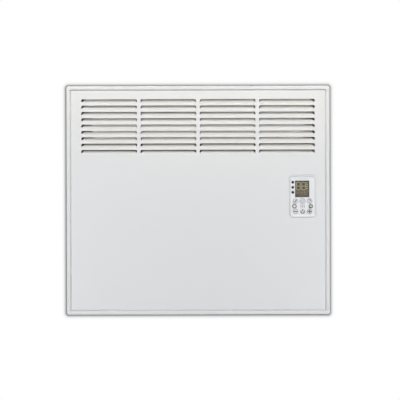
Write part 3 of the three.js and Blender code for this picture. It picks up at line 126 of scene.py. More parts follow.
class Shading:
    """A node tree that is built by calls instead of by hand."""

    def __init__(self, owner: Union[bpy.types.Material, bpy.types.World]) -> None:
        """Empties the owner's node tree.

        Args:
            owner: the material or world to dress.
        """
        owner.use_nodes = True
        self.tree = owner.node_tree
        self.tree.nodes.clear()

    def node(
        self,
        kind: str,
        settings: Optional[dict[str, Any]] = None,
        sockets: Optional[dict[Union[int, str], Value]] = None,
        output: Union[int, str] = 0,
    ) -> Signal:
        """Adds a node, sets it up, and fills its sockets with values or links.

        Args:
            kind: the node's type.
            settings: attributes that are set first, and "stops" for a colour ramp.
            sockets: a value or a signal for each input, by name or number.
            output: the output that is returned.

        Returns:
            The chosen output.
        """
        made = self.tree.nodes.new(kind)
        for name, value in (settings or {}).items():
            if name == "stops":
                self._set_stops(made.color_ramp, value)
            else:
                setattr(made, name, value)
        for name, value in (sockets or {}).items():
            if isinstance(value, Signal):
                self.tree.links.new(value.socket, made.inputs[name])
            else:
                made.inputs[name].default_value = value
        return Signal(self, made.outputs[output] if made.outputs else None)

    @staticmethod
    def _set_stops(ramp: bpy.types.ColorRamp, stops: Sequence[tuple[float, Colour]]) -> None:
        """Gives a ramp its stops.

        Args:
            ramp: the ramp.
            stops: (place, colour) pairs in rising order, at least two.
        """
        while len(ramp.elements) < len(stops):
            ramp.elements.new(1.0)
        for element, (place, colour) in zip(ramp.elements, stops):
            element.position = place
            element.color = (*colour, 1.0)

    def place(self, scale: Sequence[float] = (1.0, 1.0, 1.0)) -> Signal:
        """The point on the object, stretched along each axis.

        Args:
            scale: the factor along X, Y and Z.

        Returns:
            The point as a vector.
        """
        point = self.node("ShaderNodeTexCoord", output="Object")
        return self.node("ShaderNodeMapping", sockets={"Vector": point, "Scale": scale})

    def part(self, vector: Signal, axis: str) -> Signal:
        """One part of a vector, along the axis "X", "Y" or "Z"."""
        return self.node("ShaderNodeSeparateXYZ", sockets={"Vector": vector}, output=axis)

    def noise(self, point: Signal, scale: float, detail: float = 2.0, rough: float = 0.5) -> Signal:
        """Soft noise from 0 to 1.

        Args:
            point: where it is read.
            scale: how many features a metre holds.
            detail: how many finer layers it has.
            rough: how strong the finer layers are.

        Returns:
            The noise's value.
        """
        sockets = {"Vector": point, "Scale": scale, "Detail": detail, "Roughness": rough}
        return self.node("ShaderNodeTexNoise", sockets=sockets)

    def tint(self, amount: Value, low: Colour, high: Colour) -> Signal:
        """A colour between two.

        Args:
            amount: 0 for low and 1 for high.
            low: the first colour.
            high: the second colour.

        Returns:
            The mixed colour.
        """
        stops = [(0.0, low), (1.0, high)]
        return self.node("ShaderNodeValToRGB", {"stops": stops}, {"Fac": amount})

    def blend(self, amount: Value, base: Signal, cover: Colour) -> Signal:
        """A varying colour with a plain one laid over it.

        Args:
            amount: 0 for the base alone and 1 for the cover alone.
            base: the varying colour.
            cover: the plain colour.

        Returns:
            The mixed colour.
        """
        sockets = {0: amount, 6: base, 7: (*cover, 1.0)}
        return self.node("ShaderNodeMix", {"data_type": "RGBA"}, sockets, output=2)

    def bump(self, height: Signal, distance: float, strength: float = 1.0) -> Signal:
        """A bumped normal.

        Args:
            height: the relief from 0 to 1.
            distance: how far the relief stands up, in metres.
            strength: how much of it shows.

        Returns:
            The normal.
        """
        sockets = {"Height": height, "Distance": distance, "Strength": strength}
        return self.node("ShaderNodeBump", sockets=sockets)

    def surface(self, sockets: dict[Union[int, str], Value]) -> None:
        """Ends the tree in a Principled shader.

        Args:
            sockets: the shader's inputs.
        """
        self.finish(self.node("ShaderNodeBsdfPrincipled", sockets=sockets))

    def finish(self, shader: Signal) -> None:
        """Ends a material's tree in the given shader."""
        self.node("ShaderNodeOutputMaterial", sockets={"Surface": shader})


# ---- Finishes ------------------------------------------------------------------------


def shade(colour: Colour, factor: float) -> Colour:
    """The colour made lighter or darker by a factor."""
    red, green, blue = colour
    return (min(red * factor, 1.0), min(green * factor, 1.0), min(blue * factor, 1.0))


@dataclass(frozen=True)
class Finish:
    """A surface finish. Its subclasses say how it is painted, moulded or plated."""

    name: str
    slot: str
    colour: Colour
    roughness: float

    def material(self) -> bpy.types.Material:
        """The finish's material, made on first use."""
        made = bpy.data.materials.get(self.name)
        if made is None:
            made = bpy.data.materials.new(self.name)
            self.dress(Shading(made))
            made.diffuse_color = (*self.colour, 1.0)
        return made

    def varied(self, shading: Shading, amount: Signal, low: float, high: float) -> Signal:
        """The finish's colour, made lighter and darker.

        Args:
            shading: the node tree.
            amount: 0 for the low factor and 1 for the high one.
            low: the first factor.
            high: the second factor.

        Returns:
            The varying colour.
        """
        return shading.tint(amount, shade(self.colour, low), shade(self.colour, high))

    def dress(self, shading: Shading) -> None:
        """Builds the material's nodes.

        Args:
            shading: the empty node tree.
        """
        raise NotImplementedError


@dataclass(frozen=True)
class PowderCoat(Finish):
    """Satin powder coat: fine orange peel and a faint drift of tone."""

    peel_scale: float = 900.0
    peel_height: float = 4e-6
    drift: float = 0.012
    # dust and painted shade: the darker warm colour laid into the deep pressed hollows, where shade
    # falls
    dust_and_shade_colour: Colour = (0.72, 0.67, 0.57)
    dust_and_shade_from: float = 1.0
    dust_and_shade_reach: float = 1.4 * MM

    def dress(self, shading: Shading) -> None:
        """Builds the coat's nodes, with dust and painted shade, a darker warm tint, in its deep
        pressed hollows.
        """
        point = shading.place()
        depth = shading.part(point, "Y")
        # past the set depth the coat turns to the dust and painted-shade colour, over a short reach
        sunk = ((depth - self.dust_and_shade_from) / self.dust_and_shade_reach).clamped()
        peel = shading.noise(point, self.peel_scale, 3.0, 0.55)
        cloud = shading.noise(point, 6.0, 2.0)
        colour = self.varied(shading, cloud, 1.0 - self.drift, 1.0 + self.drift)
        shading.surface({
            "Base Color": shading.blend(sunk, colour, self.dust_and_shade_colour),
            "Roughness": self.roughness - 0.04 + 0.08 * peel,
            "Specular IOR Level": 0.45,
            "Normal": shading.bump(peel, self.peel_height),
        })


@dataclass(frozen=True)
class Moulding(Finish):
    """Moulded plastic with the fine grain of a spark-eroded tool."""

    grain_scale: float = 2600.0
    grain_height: float = 3e-6

    def dress(self, shading: Shading) -> None:
        """Builds the plastic's nodes."""
        point = shading.place()
        grain = shading.noise(point, self.grain_scale, 2.0, 0.6)
        flow = shading.noise(point, 30.0, 2.0)
        shading.surface({
            "Base Color": self.varied(shading, flow, 0.985, 1.015),
            "Roughness": self.roughness - 0.05 + 0.1 * grain,
            "Normal": shading.bump(grain, self.grain_height),
        })


@dataclass(frozen=True)
class BareMetal(Finish):
    """Metal that is plated, rolled, extruded or tinted by heat."""

    pattern: Pattern = Pattern.DULL

    def dress(self, shading: Shading) -> None:
        """Builds the metal's nodes."""
        relief, variation = self._relief(shading)
        dark, light = shade(self.colour, 0.86), shade(self.colour, 1.1)
        if self.pattern is Pattern.TINTED:
            dark = (0.16, 0.11, 0.085)
        shading.surface({
            "Base Color": shading.tint(variation, dark, light),
            "Metallic": 1.0,
            "Roughness": self.roughness - 0.08 + 0.16 * variation,
            "Normal": shading.bump(relief, 6e-6),
        })

    def _relief(self, shading: Shading) -> tuple[Signal, Signal]:
        """The surface's relief and its variation of tone.

        Args:
            shading: the node tree.

        Returns:
            The relief and the variation, both from 0 to 1.
        """
        if self.pattern is Pattern.SPANGLE:
            sockets = {"Vector": shading.place(), "Scale": 95.0, "Randomness": 1.0}
            crystal = shading.node("ShaderNodeTexVoronoi", sockets=sockets, output="Color")
            tone = shading.node("ShaderNodeSeparateColor", sockets={"Color": crystal})
            return shading.noise(shading.place(), 700.0, 2.0), tone
        if self.pattern is Pattern.ROLLED:
            lines = shading.noise(shading.place((12.0, 900.0, 900.0)), 1.0, 3.0)
            return lines, lines
        if self.pattern is Pattern.TINTED:
            bands = shading.noise(shading.place((26.0, 90.0, 90.0)), 1.0, 3.0)
            return shading.noise(shading.place(), 1500.0), bands
        grain = shading.noise(shading.place((8.0, 500.0, 500.0)), 1.0, 4.0)
        return grain, grain


@dataclass(frozen=True)
class FiredCeramic(Finish):
    """Unglazed ceramic: chalky, with dark specks."""

    def dress(self, shading: Shading) -> None:
        """Builds the ceramic's nodes."""
        point = shading.place()
        specks = shading.noise(point, 1400.0, 1.0)
        speck, body = shade(self.colour, 0.55), shade(self.colour, 0.96)
        stops = [(0.0, speck), (0.33, body), (1.0, self.colour)]
        shading.surface({
            "Base Color": shading.node("ShaderNodeValToRGB", {"stops": stops}, {"Fac": specks}),
            "Roughness": self.roughness,
            "Normal": shading.bump(shading.noise(point, 2500.0), 8e-6),
        })


@dataclass(frozen=True)
class BoardLacquer(Finish):
    """Solder mask over copper tracks on a circuit board."""

    track_pitch: float = 0.0032

    def dress(self, shading: Shading) -> None:
        """Builds the board's nodes."""
        step = 1.0 / self.track_pitch
        point = shading.place((step, step, step * 0.55))
        sockets = {"Vector": point, "Scale": 1.0, "Randomness": 0.85}
        edge = shading.node("ShaderNodeTexVoronoi", {"feature": "DISTANCE_TO_EDGE"}, sockets)
        track = ((edge - 0.05) * 14.0).clamped()
        shading.surface({
            "Base Color": shading.tint(track, shade(self.colour, 1.7), self.colour),
            "Roughness": self.roughness,
            "Coat Weight": 0.3,
            "Normal": shading.bump(track, 3e-5, 0.6),
        })


@dataclass(frozen=True)
class Lens(Finish):
    """A moulded lens that shines and is slightly cloudy inside."""

    def dress(self, shading: Shading) -> None:
        """Builds the lens's nodes."""
        cloud = shading.noise(shading.place(), 420.0, 2.0)
        shading.surface({
            "Base Color": self.varied(shading, cloud, 0.9, 1.08),
            "Roughness": self.roughness,
            "Coat Weight": 0.6,
            "Coat Roughness": 0.12,
        })


@dataclass(frozen=True)
class SmokedPane(Finish):
    """A clear window with a smoked tint, seen through from the front."""

    alpha: float = 0.16

    def dress(self, shading: Shading) -> None:
        """Builds the pane's nodes."""
        haze = shading.noise(shading.place(), 120.0, 2.0)
        shading.surface({
            "Base Color": self.varied(shading, haze, 0.9, 1.1),
            "Roughness": self.roughness,
            "Alpha": self.alpha - 0.01 + 0.02 * haze,
        })


@dataclass(frozen=True)
class CrystalFace(Finish):
    """A liquid-crystal display's face: olive brown, with painted shade darkening its top and bottom
    ends, under the edges of its recess.
    """

    low_z: float = 0.0
    high_z: float = 1.0
    # brightness up the face, from bottom to top; the darker ends are painted shade
    painted_shades: tuple[tuple[float, float], ...] = (
        (0.0, 0.36), (0.06, 0.46), (0.14, 0.8), (0.45, 0.96), (0.84, 1.04), (0.94, 0.72),
        (1.0, 0.62),
    )

    def dress(self, shading: Shading) -> None:
        """Builds the face's nodes."""
        along = shading.part(shading.place(), "Z")
        share = (along - self.low_z) / (self.high_z - self.low_z)
        # the face's colour by height, with the painted shade at its ends
        stops = [(place, shade(self.colour, factor)) for place, factor in self.painted_shades]
        shading.surface({
            "Base Color": shading.node("ShaderNodeValToRGB", {"stops": stops}, {"Fac": share}),
            "Roughness": self.roughness,
            "Normal": shading.bump(shading.noise(shading.place(), 3000.0), 2e-6),
        })


@dataclass(frozen=True)
class Ink(Finish):
    """A thin printed film, slightly uneven."""

    def dress(self, shading: Shading) -> None:
        """Builds the ink's nodes."""
        spread = shading.noise(shading.place(), 1800.0, 2.0)
        shading.surface({
            "Base Color": self.varied(shading, spread, 0.88, 1.12),
            "Roughness": self.roughness,
        })


WHITE_POWDER = PowderCoat("white_powder", "white_powder_coat", (0.8, 0.8, 0.8), 0.42)
CASING_POWDER = PowderCoat("casing_powder", "casing_powder_coat", (0.74, 0.745, 0.74), 0.5)
WHITE_PLASTIC = Moulding("white_plastic", "white_plastic", (0.785, 0.778, 0.757), 0.4)
CAP_PLASTIC = Moulding("cap_plastic", "button_plastic", (0.76, 0.765, 0.785), 0.42)
GREY_PLASTIC = Moulding("grey_plastic", "grey_plastic", (0.2, 0.21, 0.22), 0.55)
BLACK_PLASTIC = Moulding("black_plastic", "black_plastic", (0.022, 0.022, 0.024), 0.5)
RELAY_PLASTIC = Moulding("relay_plastic", "relay_case", (0.03, 0.12, 0.4), 0.35)
ZINC = BareMetal("zinc_plate", "zinc_sheet", (0.62, 0.64, 0.65), 0.38, Pattern.SPANGLE)
SCREW_ZINC = BareMetal("screw_zinc", "screw_steel", (0.68, 0.69, 0.7), 0.3, Pattern.DULL)
ALUMINIUM = BareMetal("bright_sheet", "bright_aluminium", (0.78, 0.79, 0.8), 0.24, Pattern.ROLLED)
EXTRUSION = BareMetal("extruded_fins", "cast_aluminium", (0.58, 0.59, 0.6), 0.42, Pattern.DULL)
SHEATH = BareMetal("tinted_sheath", "sheath_steel", (0.46, 0.4, 0.34), 0.36, Pattern.TINTED)
CERAMIC = FiredCeramic("fired_ceramic", "ceramic_bush", (0.86, 0.83, 0.75), 0.75)
BOARD = BoardLacquer("board_lacquer", "board_green", (0.012, 0.12, 0.055), 0.32)
DARK_LENS = Lens("dark_lens", "dark_lens", (0.045, 0.042, 0.043), 0.25)
PALE_LENS = Lens("pale_lens", "pale_lens", (0.46, 0.465, 0.53), 0.35)
SMOKED_PANE = SmokedPane("smoked_pane", "smoked_window", (0.2, 0.18, 0.15), 0.12)
SEGMENT_INK = Ink("segment_ink", "display_face", (0.62, 0.54, 0.3), 0.5)
DARK_INK = Ink("dark_segment_ink", "display_face", (0.05, 0.038, 0.016), 0.5)
FAINT_INK = Ink("faint_segment_ink", "display_face", (0.4, 0.33, 0.22), 0.5)
BRIGHT_INK = Ink("bright_segment_ink", "display_face", (0.86, 0.8, 0.5), 0.5)
CRYSTAL = CrystalFace("crystal_face", "display_face", (0.2, 0.155, 0.095), 0.45)
SYMBOL_INK = Ink("symbol_ink", "black_plastic", (0.03, 0.028, 0.035), 0.5)
LINE_INK = Ink("line_ink", "black_plastic", (0.2, 0.196, 0.206), 0.5)
PALE_INK = Ink("pale_symbol_ink", "black_plastic", (0.08, 0.078, 0.085), 0.5)


# ---- Modelling -----------------------------------------------------------------------

FRONTWARDS = Matrix.Rotation(math.pi / 2, 4, "X")


def linked(name: str, data: bpy.types.ID) -> bpy.types.Object:
    """A new object in the scene, made of the given data."""
    made = bpy.data.objects.new(name, data)
    bpy.context.scene.collection.objects.link(made)
    return made


def shifted(x: float, y: float, z: float) -> Matrix:
    """The matrix of a move."""
    return Matrix.Translation((x, y, z))


class Workpiece:
    """A mesh under construction, in the frame's metres."""

    def __init__(self) -> None:
        """Starts from nothing."""
        self.bm = bmesh.new()

    def _added(self, make: Callable[[], Any]) -> list[bmesh.types.BMEdge]:
        """Runs an operator and finds the edges that it adds.

        Args:
            make: the call to run.

        Returns:
            The new edges.
        """
        before = set(self.bm.edges)
        make()
        return [edge for edge in self.bm.edges if edge not in before]

    def outline(self, half_width: float, half_height: float, radius: float, y: float) -> list:
        """A closed rounded rectangle of edges, upright at a depth.

        Args:
            half_width: half its width.
            half_height: half its height.
            radius: its corner radius.
            y: its depth.

        Returns:
            Its edges.
        """

        def make() -> None:
            """Squares a grid up, rounds its corners and opens it."""
            grid = bmesh.ops.create_grid(self.bm, x_segments=1, y_segments=1, size=1.0)
            corners = grid["verts"]
            for corner in corners:
                corner.co.x = math.copysign(half_width, corner.co.x)
                corner.co.y = math.copysign(half_height, corner.co.y)
            turned = shifted(0.0, y, 0.0) @ FRONTWARDS
            bmesh.ops.transform(self.bm, matrix=turned, verts=corners)
            self.bevel(corners, radius, segments=8, affect="VERTICES")

        edges = self._added(make)
        faces = list({face for edge in edges for face in edge.link_faces})
        bmesh.ops.delete(self.bm, geom=faces, context="FACES_ONLY")
        return edges

    def shell(self, rings: Sequence[tuple[float, float, float, float]]) -> "Workpiece":
        """A closed shell drawn from one rounded rectangle to the next.

        Args:
            rings: half the width, half the height, the corner radius and the depth of each.

        Returns:
            This workpiece.
        """
        half_x, half_z, radius, _ = rings[0]
        edges = self.outline(*rings[0])
        self.cap(edges)
        for wide, tall, corner, depth in rings[1:]:
            verts, edges = self.draw(edges)
            for vert in verts:
                right, up = math.copysign(1.0, vert.co.x), math.copysign(1.0, vert.co.z)
                turn_x = (vert.co.x - right * (half_x - radius)) / radius
                turn_z = (vert.co.z - up * (half_z - radius)) / radius
                x = right * (wide - corner) + corner * turn_x
                z = up * (tall - corner) + corner * turn_z
                vert.co = Vector((x, depth, z))
            half_x, half_z, radius = wide, tall, corner
        self.cap(edges)
        return self

    def draw(self, loop: list) -> tuple[set, list]:
        """Draws a new loop of edges out of one, joined to it by faces.

        Args:
            loop: the loop of edges to start from.

        Returns:
            The new loop's points and its edges.
        """
        drawn = bmesh.ops.extrude_edge_only(self.bm, edges=loop)["geom"]
        verts = {item for item in drawn if isinstance(item, bmesh.types.BMVert)}
        edges = [item for item in drawn if isinstance(item, bmesh.types.BMEdge)]
        return verts, [edge for edge in edges if set(edge.verts) <= verts]

    def cap(self, loop: list) -> None:
        """Closes a flat loop with one face."""
        bmesh.ops.contextual_create(self.bm, geom=loop)

    def prism(self, half_width: float, half_height: float, radius: float, front: float,
              back: float) -> "Workpiece":
        """A rounded rectangular block between two depths.

        Args:
            half_width: half its width.
            half_height: half its height.
            radius: its corner radius.
            front: the depth of its front.
            back: the depth of its back.

        Returns:
            This workpiece.
        """
        return self.shell([(half_width, half_height, radius, y) for y in (front, back)])

    def bar(self, width: float, height: float, front: float, back: float) -> "Workpiece":
        """A plain bar between two depths, centred on the Y axis.

        Args:
            width: its width.
            height: its height.
            front: the depth of its front.
            back: the depth of its back.

        Returns:
            This workpiece.
        """
        sized = Matrix.Diagonal((width, back - front, height, 1.0))
        placed = shifted(0.0, (front + back) / 2, 0.0) @ sized
        bmesh.ops.create_cube(self.bm, size=1.0, matrix=placed)
        return self

    def ring(self, inner: float, outer: float, front: float, back: float) -> "Workpiece":
        """A flat washer between two depths, centred on the Y axis.

        Args:
            inner: its inner radius.
            outer: its outer radius.
            front: the depth of its front.
            back: the depth of its back.

        Returns:
            This workpiece.
        """
        profile = [(inner, front), (outer, front), (outer, back), (inner, back), (inner, front)]
        return self.turned(profile)

    def turned(self, profile: Sequence[tuple[float, float]], steps: int = 48) -> "Workpiece":
        """A turned form round the Y axis.

        Args:
            profile: (radius, y) points, from the front's middle outwards and back.
            steps: how many steps the full turn has.

        Returns:
            This workpiece.
        """
        points = [self.bm.verts.new((radius, y, 0.0)) for radius, y in profile]
        lines = [self.bm.edges.new(pair) for pair in zip(points, points[1:])]
        self.spin(points + lines, 360.0, steps)
        bmesh.ops.remove_doubles(self.bm, verts=self.bm.verts[:], dist=WELD)
        return self

    def spin(self, geom: list, sweep: float, steps: int) -> None:
        """Sweeps points, edges or faces round the Y axis.

        Args:
            geom: what is swept.
            sweep: how far, in degrees.
            steps: in how many steps.
        """
        origin = (0.0, 0.0, 0.0)
        bmesh.ops.spin(
            self.bm, geom=geom, cent=origin, axis=(0.0, 1.0, 0.0), dvec=origin,
            angle=math.radians(sweep), steps=steps, use_merge=sweep == 360.0,
        )

    def add(self, other: "Workpiece", x: float = 0.0, y: float = 0.0, z: float = 0.0,
            turn: float = 0.0) -> "Workpiece":
        """Takes in another workpiece, turned about the Y axis and then moved.

        Args:
            other: the workpiece to take in, which is used up.
            x: how far it moves to the right.
            y: how far it moves to the back.
            z: how far it moves up.
            turn: its turn, in degrees.

        Returns:
            This workpiece.
        """
        turned = Matrix.Translation((x, y, z)) @ Matrix.Rotation(math.radians(turn), 4, "Y")
        other.move(turned)
        mesh = other.mesh("taken_in")
        self.bm.from_mesh(mesh)
        bpy.data.meshes.remove(mesh)
        return self

    def mesh(self, name: str) -> bpy.types.Mesh:
        """Turns the workpiece into a mesh, which uses it up."""
        mesh = bpy.data.meshes.new(name)
        self.bm.to_mesh(mesh)
        self.bm.free()
        return mesh

    def move(self, matrix: Matrix) -> "Workpiece":
        """Moves every point by a matrix and returns this workpiece."""
        bmesh.ops.transform(self.bm, matrix=matrix, verts=self.bm.verts[:])
        return self

    def shells(self) -> list[list[bmesh.types.BMFace]]:
        """The connected shells of faces."""
        waiting = set(self.bm.faces)
        shells = []
        while waiting:
            shell, front = [], [waiting.pop()]
            while front:
                face = front.pop()
                shell.append(face)
                near = {other for edge in face.edges for other in edge.link_faces} & waiting
                waiting -= near
                front += near
            shells.append(shell)
        return shells

    def face_out(self) -> "Workpiece":
        """Welds doubles, points each shell's faces outwards and returns this workpiece."""
        bmesh.ops.remove_doubles(self.bm, verts=self.bm.verts[:], dist=WELD)
        bmesh.ops.recalc_face_normals(self.bm, faces=self.bm.faces[:])
        for shell in self.shells():
            if sum(face.calc_area() * face.normal.dot(face.verts[0].co) for face in shell) < 0:
                bmesh.ops.reverse_faces(self.bm, faces=shell)
        return self

    def soften(self, width: float, angle: float = 40.0, segments: int = 2) -> "Workpiece":
        """Bevels every edge that is sharper than an angle.

        Args:
            width: the bevel's width.
            angle: the least angle between two faces, in degrees.
            segments: how many facets the bevel has.

        Returns:
            This workpiece.
        """
        self.face_out()
        limit = math.radians(angle)
        sharp = [edge for edge in self.bm.edges if edge.calc_face_angle(0.0) > limit]
        self.bevel(sharp, width, segments)
        return self

    def bevel(self, geom: list, width: float, segments: int = 2, affect: str = "EDGES") -> None:
        """Bevels edges or corners.

        Args:
            geom: the edges or the points.
            width: the bevel's width.
            segments: how many facets it has.
            affect: "EDGES" or "VERTICES".
        """
        bmesh.ops.bevel(
            self.bm, geom=geom, offset=width, offset_type="OFFSET", affect=affect,
            segments=segments, profile=0.5, material=-1, clamp_overlap=affect == "EDGES",
        )

    def thicken(self, sheet: float) -> None:
        """Gives an open sheet that faces the front its thickness, towards the back."""
        self.face_out()
        front = min(self.bm.faces, key=lambda face: face.calc_center_median().y)
        if front.normal.y > 0:
            bmesh.ops.reverse_faces(self.bm, faces=self.bm.faces[:])
        bmesh.ops.solidify(self.bm, geom=self.bm.faces[:], thickness=sheet)

    def cut(self, tool: "Workpiece") -> "Workpiece":
        """Takes a tool's volume away from this one.

        Args:
            tool: closed and apart from the rest; it is used up.

        Returns:
            This workpiece.
        """
        pair = []
        for name, piece in (("blank", self), ("tool", tool)):
            pair.append(linked(name, piece.face_out().mesh(name)))
        blank, cutter = pair
        modifier = blank.modifiers.new("cut", "BOOLEAN")
        modifier.operation = "DIFFERENCE"
        modifier.solver = "EXACT"
        modifier.object = cutter
        bpy.context.view_layer.update()
        seen = blank.evaluated_get(bpy.context.evaluated_depsgraph_get())
        self.bm = bmesh.new()
        self.bm.from_mesh(seen.to_mesh())
        seen.to_mesh_clear()
        for used in pair:
            mesh = used.data
            bpy.data.objects.remove(used)
            bpy.data.meshes.remove(mesh)
        return self

    def finish(
        self,
        name: str,
        finish: Finish,
        replaces: Sequence[str] = (),
        smooth_below: float = 32.0,
        body: str = HEATER,
    ) -> bpy.types.Object:
        """Turns the workpiece into a finished piece of the object.

        Args:
            name: the piece's name.
            finish: its finish.
            replaces: the CAD nodes that it stands for.
            smooth_below: the angle, in degrees, up to which an edge is shaded smooth.
            body: the body that it rides on.

        Returns:
            The piece.
        """
        self.face_out()
        limit = math.radians(smooth_below)
        for face in self.bm.faces:
            face.smooth = True
        for edge in self.bm.edges:
            edge.smooth = edge.calc_face_angle(0.0) < limit
        mesh = self.mesh(name)
        mesh.materials.append(finish.material())
        piece = linked(name, mesh)
        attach(piece, body)
        if replaces:
            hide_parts(*replaces)
        LOG.info("%s: %d faces, %s", name, len(mesh.polygons), finish.name)
        return piece


def middle(node: str) -> Vector:
    """The middle of a CAD node's box."""
    low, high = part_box(node)
    return (low + high) / 2


def half_size(node: str) -> Vector:
    """Half the size of a CAD node's box."""
    low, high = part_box(node)
    return (high - low) / 2


def rounded(radius: float, front: float, edge: float, steps: int = 3) -> list[tuple[float, float]]:
    """The front of a turned cap: a flat disc with a rounded rim.

    Args:
        radius: the cap's radius.
        front: the depth of its front.
        edge: the radius of its rim.
        steps: how many facets the rim has.

    Returns:
        (radius, y) points from the middle to the side.
    """
    points = [(0.0, front)]
    for step in range(steps + 1):
        angle = step / steps * math.pi / 2
        fall = edge - edge * math.cos(angle)
        points.append((radius - edge + edge * math.sin(angle), front + fall))
    return points


# ---- Front panel ---------------------------------------------------------------------


@dataclass
class FrontPanel:
    """The pressed steel front: border, field, louvres and folded edge."""

    # the outline, and the border's lines as distances from it
    sheet: float = 1.0 * MM
    corner: float = 5.0 * MM
    roll: float = 2.4 * MM
    mitre_line: float = 4.2 * MM
    border: float = 7.0 * MM
    border_fall: float = 0.1 * MM
    step_foot: float = 7.8 * MM
    step_corners: tuple[float, float] = (0.6 * MM, 0.9 * MM)
    groove_fall: float = 3.0 * MM
    field_inset: float = 9.7 * MM
    recess: float = 1.8 * MM
    bend: float = 0.2 * MM
    roll_steps: int = 7
    corner_lines: int = 4
    # the louvres: their grid, the cut below each, and the pressed blade
    columns: int = 4
    rows: int = 9
    side_margin: float = 29.3 * MM
    top_margin: float = 25.7 * MM
    column_gap: float = 7.0 * MM
    pitch: float = 12.5 * MM
    height: float = 9.0 * MM
    depth: float = 4.6 * MM
    slot: float = 1.2 * MM
    end_run: float = 2.6 * MM
    tip_drop: float = 6.8 * MM
    cut_corner: float = 2.2 * MM
    blade_chamfer: float = 4.4 * MM
    end_shares: tuple[float, ...] = (0.0, 0.12, 0.3, 0.5, 0.7, 0.85, 1.0)
    blade_shares: tuple[float, ...] = (0.0, 0.06, 0.14, 0.26, 0.4, 0.56, 0.74, 0.9, 1.0)
    blade_power: float = 1.2
    # the depth behind the field where the dust and painted shade in the louvre pockets begins
    dust_and_shade_depth: float = 3.1 * MM
    # the control unit's opening, with its dished rim
    unit_corner: float = 6.0 * MM
    hole_inset: float = 0.7 * MM
    dish_reach: float = 1.6 * MM
    dish_fall: float = 1.1 * MM
    dish_lap: float = 0.3 * MM
    dish_rise: float = 0.6 * MM
    dish_sink: float = 0.06 * MM
    # the countersunk screw holes in the folded edge
    screw_head: float = 3.2 * MM
    screw_hole: float = 1.9 * MM
    screw_sink: tuple[float, float] = (0.2 * MM, 1.6 * MM)

    def __post_init__(self) -> None:
        """Takes the panel's box from the frame."""
        low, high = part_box("front_panel")
        self.half_width = (high.x - low.x) / 2
        self.half_height = (high.z - low.z) / 2
        self.centre = (low + high) / 2
        self.front = low.y
        self.back = high.y
        margins = 2 * self.side_margin + (self.columns - 1) * self.column_gap
        self.louvre = (2 * self.half_width - margins) / self.columns
        self.blade_top = self.height - self.slot

    def column_lines(self) -> list[tuple[float, Optional[float]]]:
        """The grid's upright lines.

        Returns:
            (x, inset) pairs, where inset is the distance inside a louvre's end, or None.
        """
        lines: list[tuple[float, Optional[float]]] = []
        insets = [share * self.end_run for share in self.end_shares]
        insets += [self.blade_chamfer, 2 * self.blade_chamfer]
        for column in range(self.columns):
            left = -self.half_width + self.side_margin + column * (self.louvre + self.column_gap)
            right = left + self.louvre
            lines += [(left + inset, inset) for inset in insets]
            lines += [(right - inset, inset) for inset in reversed(insets)]
        edge = self.half_width - self.field_inset
        for share in range(self.corner_lines + 1):
            offset = self.corner * share / self.corner_lines
            lines += [(edge - offset, None), (offset - edge, None)]
        return sorted(lines, key=lambda line: line[0])

    def row_lines(self) -> list[tuple[str, float, float]]:
        """The grid's level lines, from the bottom up.

        Returns:
            (kind, base, share): a flat line at base, or a blade or cut line over a root.
        """
        lines: list[tuple[str, float, float]] = []
        edge = self.half_height - self.field_inset
        for step in range(self.corner_lines, -1, -1):
            offset = self.corner * step / self.corner_lines
            lines.append(("flat", edge - offset, 0.0))
            lines.append(("flat", offset - edge, 0.0))
        lines.append(("flat", 0.0, 0.0))
        for row in range(self.rows):
            root = self.half_height - self.top_margin - self.height - row * self.pitch
            lines.append(("flat", root - self.slot, 0.0))
            for share in self.blade_shares:
                lines.append(("blade", root, share))
            lines.append(("cut", root, 1.0))
        order = {"flat": 0.0, "blade": 1.0, "cut": 1.5}
        return sorted(lines, key=lambda line: line[1] + self.height * line[2] * order[line[0]] / 2)

    def depth_at(self, inset: float, rise: float) -> float:
        """How deep a louvre is pressed in.

        Args:
            inset: the distance inside the louvre's nearer end.
            rise: the height over its root.

        Returns:
            The depth behind the field.
        """
        share = min(max(rise / self.blade_top, 0.0), 1.0)
        run = min(inset / self.end_run, 1.0)
        upward = math.sin(share * math.pi / 2) ** self.blade_power
        return self.depth * upward * run * run * (3 - 2 * run)

    def point(self, column: tuple[float, Optional[float]], row: tuple[str, float, float]) -> Vector:
        """Where the grid's lines cross, on the pressed sheet.

        Args:
            column: an upright line.
            row: a level line.

        Returns:
            The point, from the panel's middle and the field's front.
        """
        x, inset = column
        kind, base, share = row
        along = inset or 0.0
        if kind == "flat":
            return Vector((x, 0.0, base))
        fall = self.blade_top - (self.height - self.tip_drop)
        top = self.blade_top - fall * max(0.0, 1 - along / self.blade_chamfer)
        if kind == "cut":
            reach = max(0.0, self.cut_corner - along)
            arc = math.sqrt(self.cut_corner ** 2 - reach ** 2)
            return Vector((x, 0.0, base + self.height - self.cut_corner + arc))
        rise = share * top
        sunk = 0.0 if inset is None else self.depth_at(along, rise)
        return Vector((x, sunk, base + rise))

    def field(self, work: Workpiece) -> tuple[list, Any, Any]:
        """Lays the field's grid and presses the louvres into it.

        Args:
            work: the empty workpiece.

        Returns:
            The grid's outer edges, and the layers that hold each point's line numbers.
        """
        bm = work.bm
        columns, rows = self.column_lines(), self.row_lines()
        across, up = len(columns) - 1, len(rows) - 1
        line_i = bm.verts.layers.int.new("column")
        line_j = bm.verts.layers.int.new("row")
        grid = bmesh.ops.create_grid(bm, x_segments=across, y_segments=up, size=1.0)
        for vert in grid["verts"]:
            i = round((vert.co.x + 1) / 2 * across)
            j = round((vert.co.y + 1) / 2 * up)
            vert[line_i], vert[line_j] = i, j
            vert.co = self.point(columns[i], rows[j])
        sheared = []
        for face in bm.faces:
            j = min(vert[line_j] for vert in face.verts)
            inside = any(columns[vert[line_i]][1] for vert in face.verts)
            if inside and rows[j][0] == "blade" and rows[j + 1][0] == "cut":
                sheared.append(face)
        edges = [edge for edge in bm.edges if len(edge.link_faces) == 1]
        bmesh.ops.delete(bm, geom=sheared, context="FACES")
        return edges, line_i, line_j

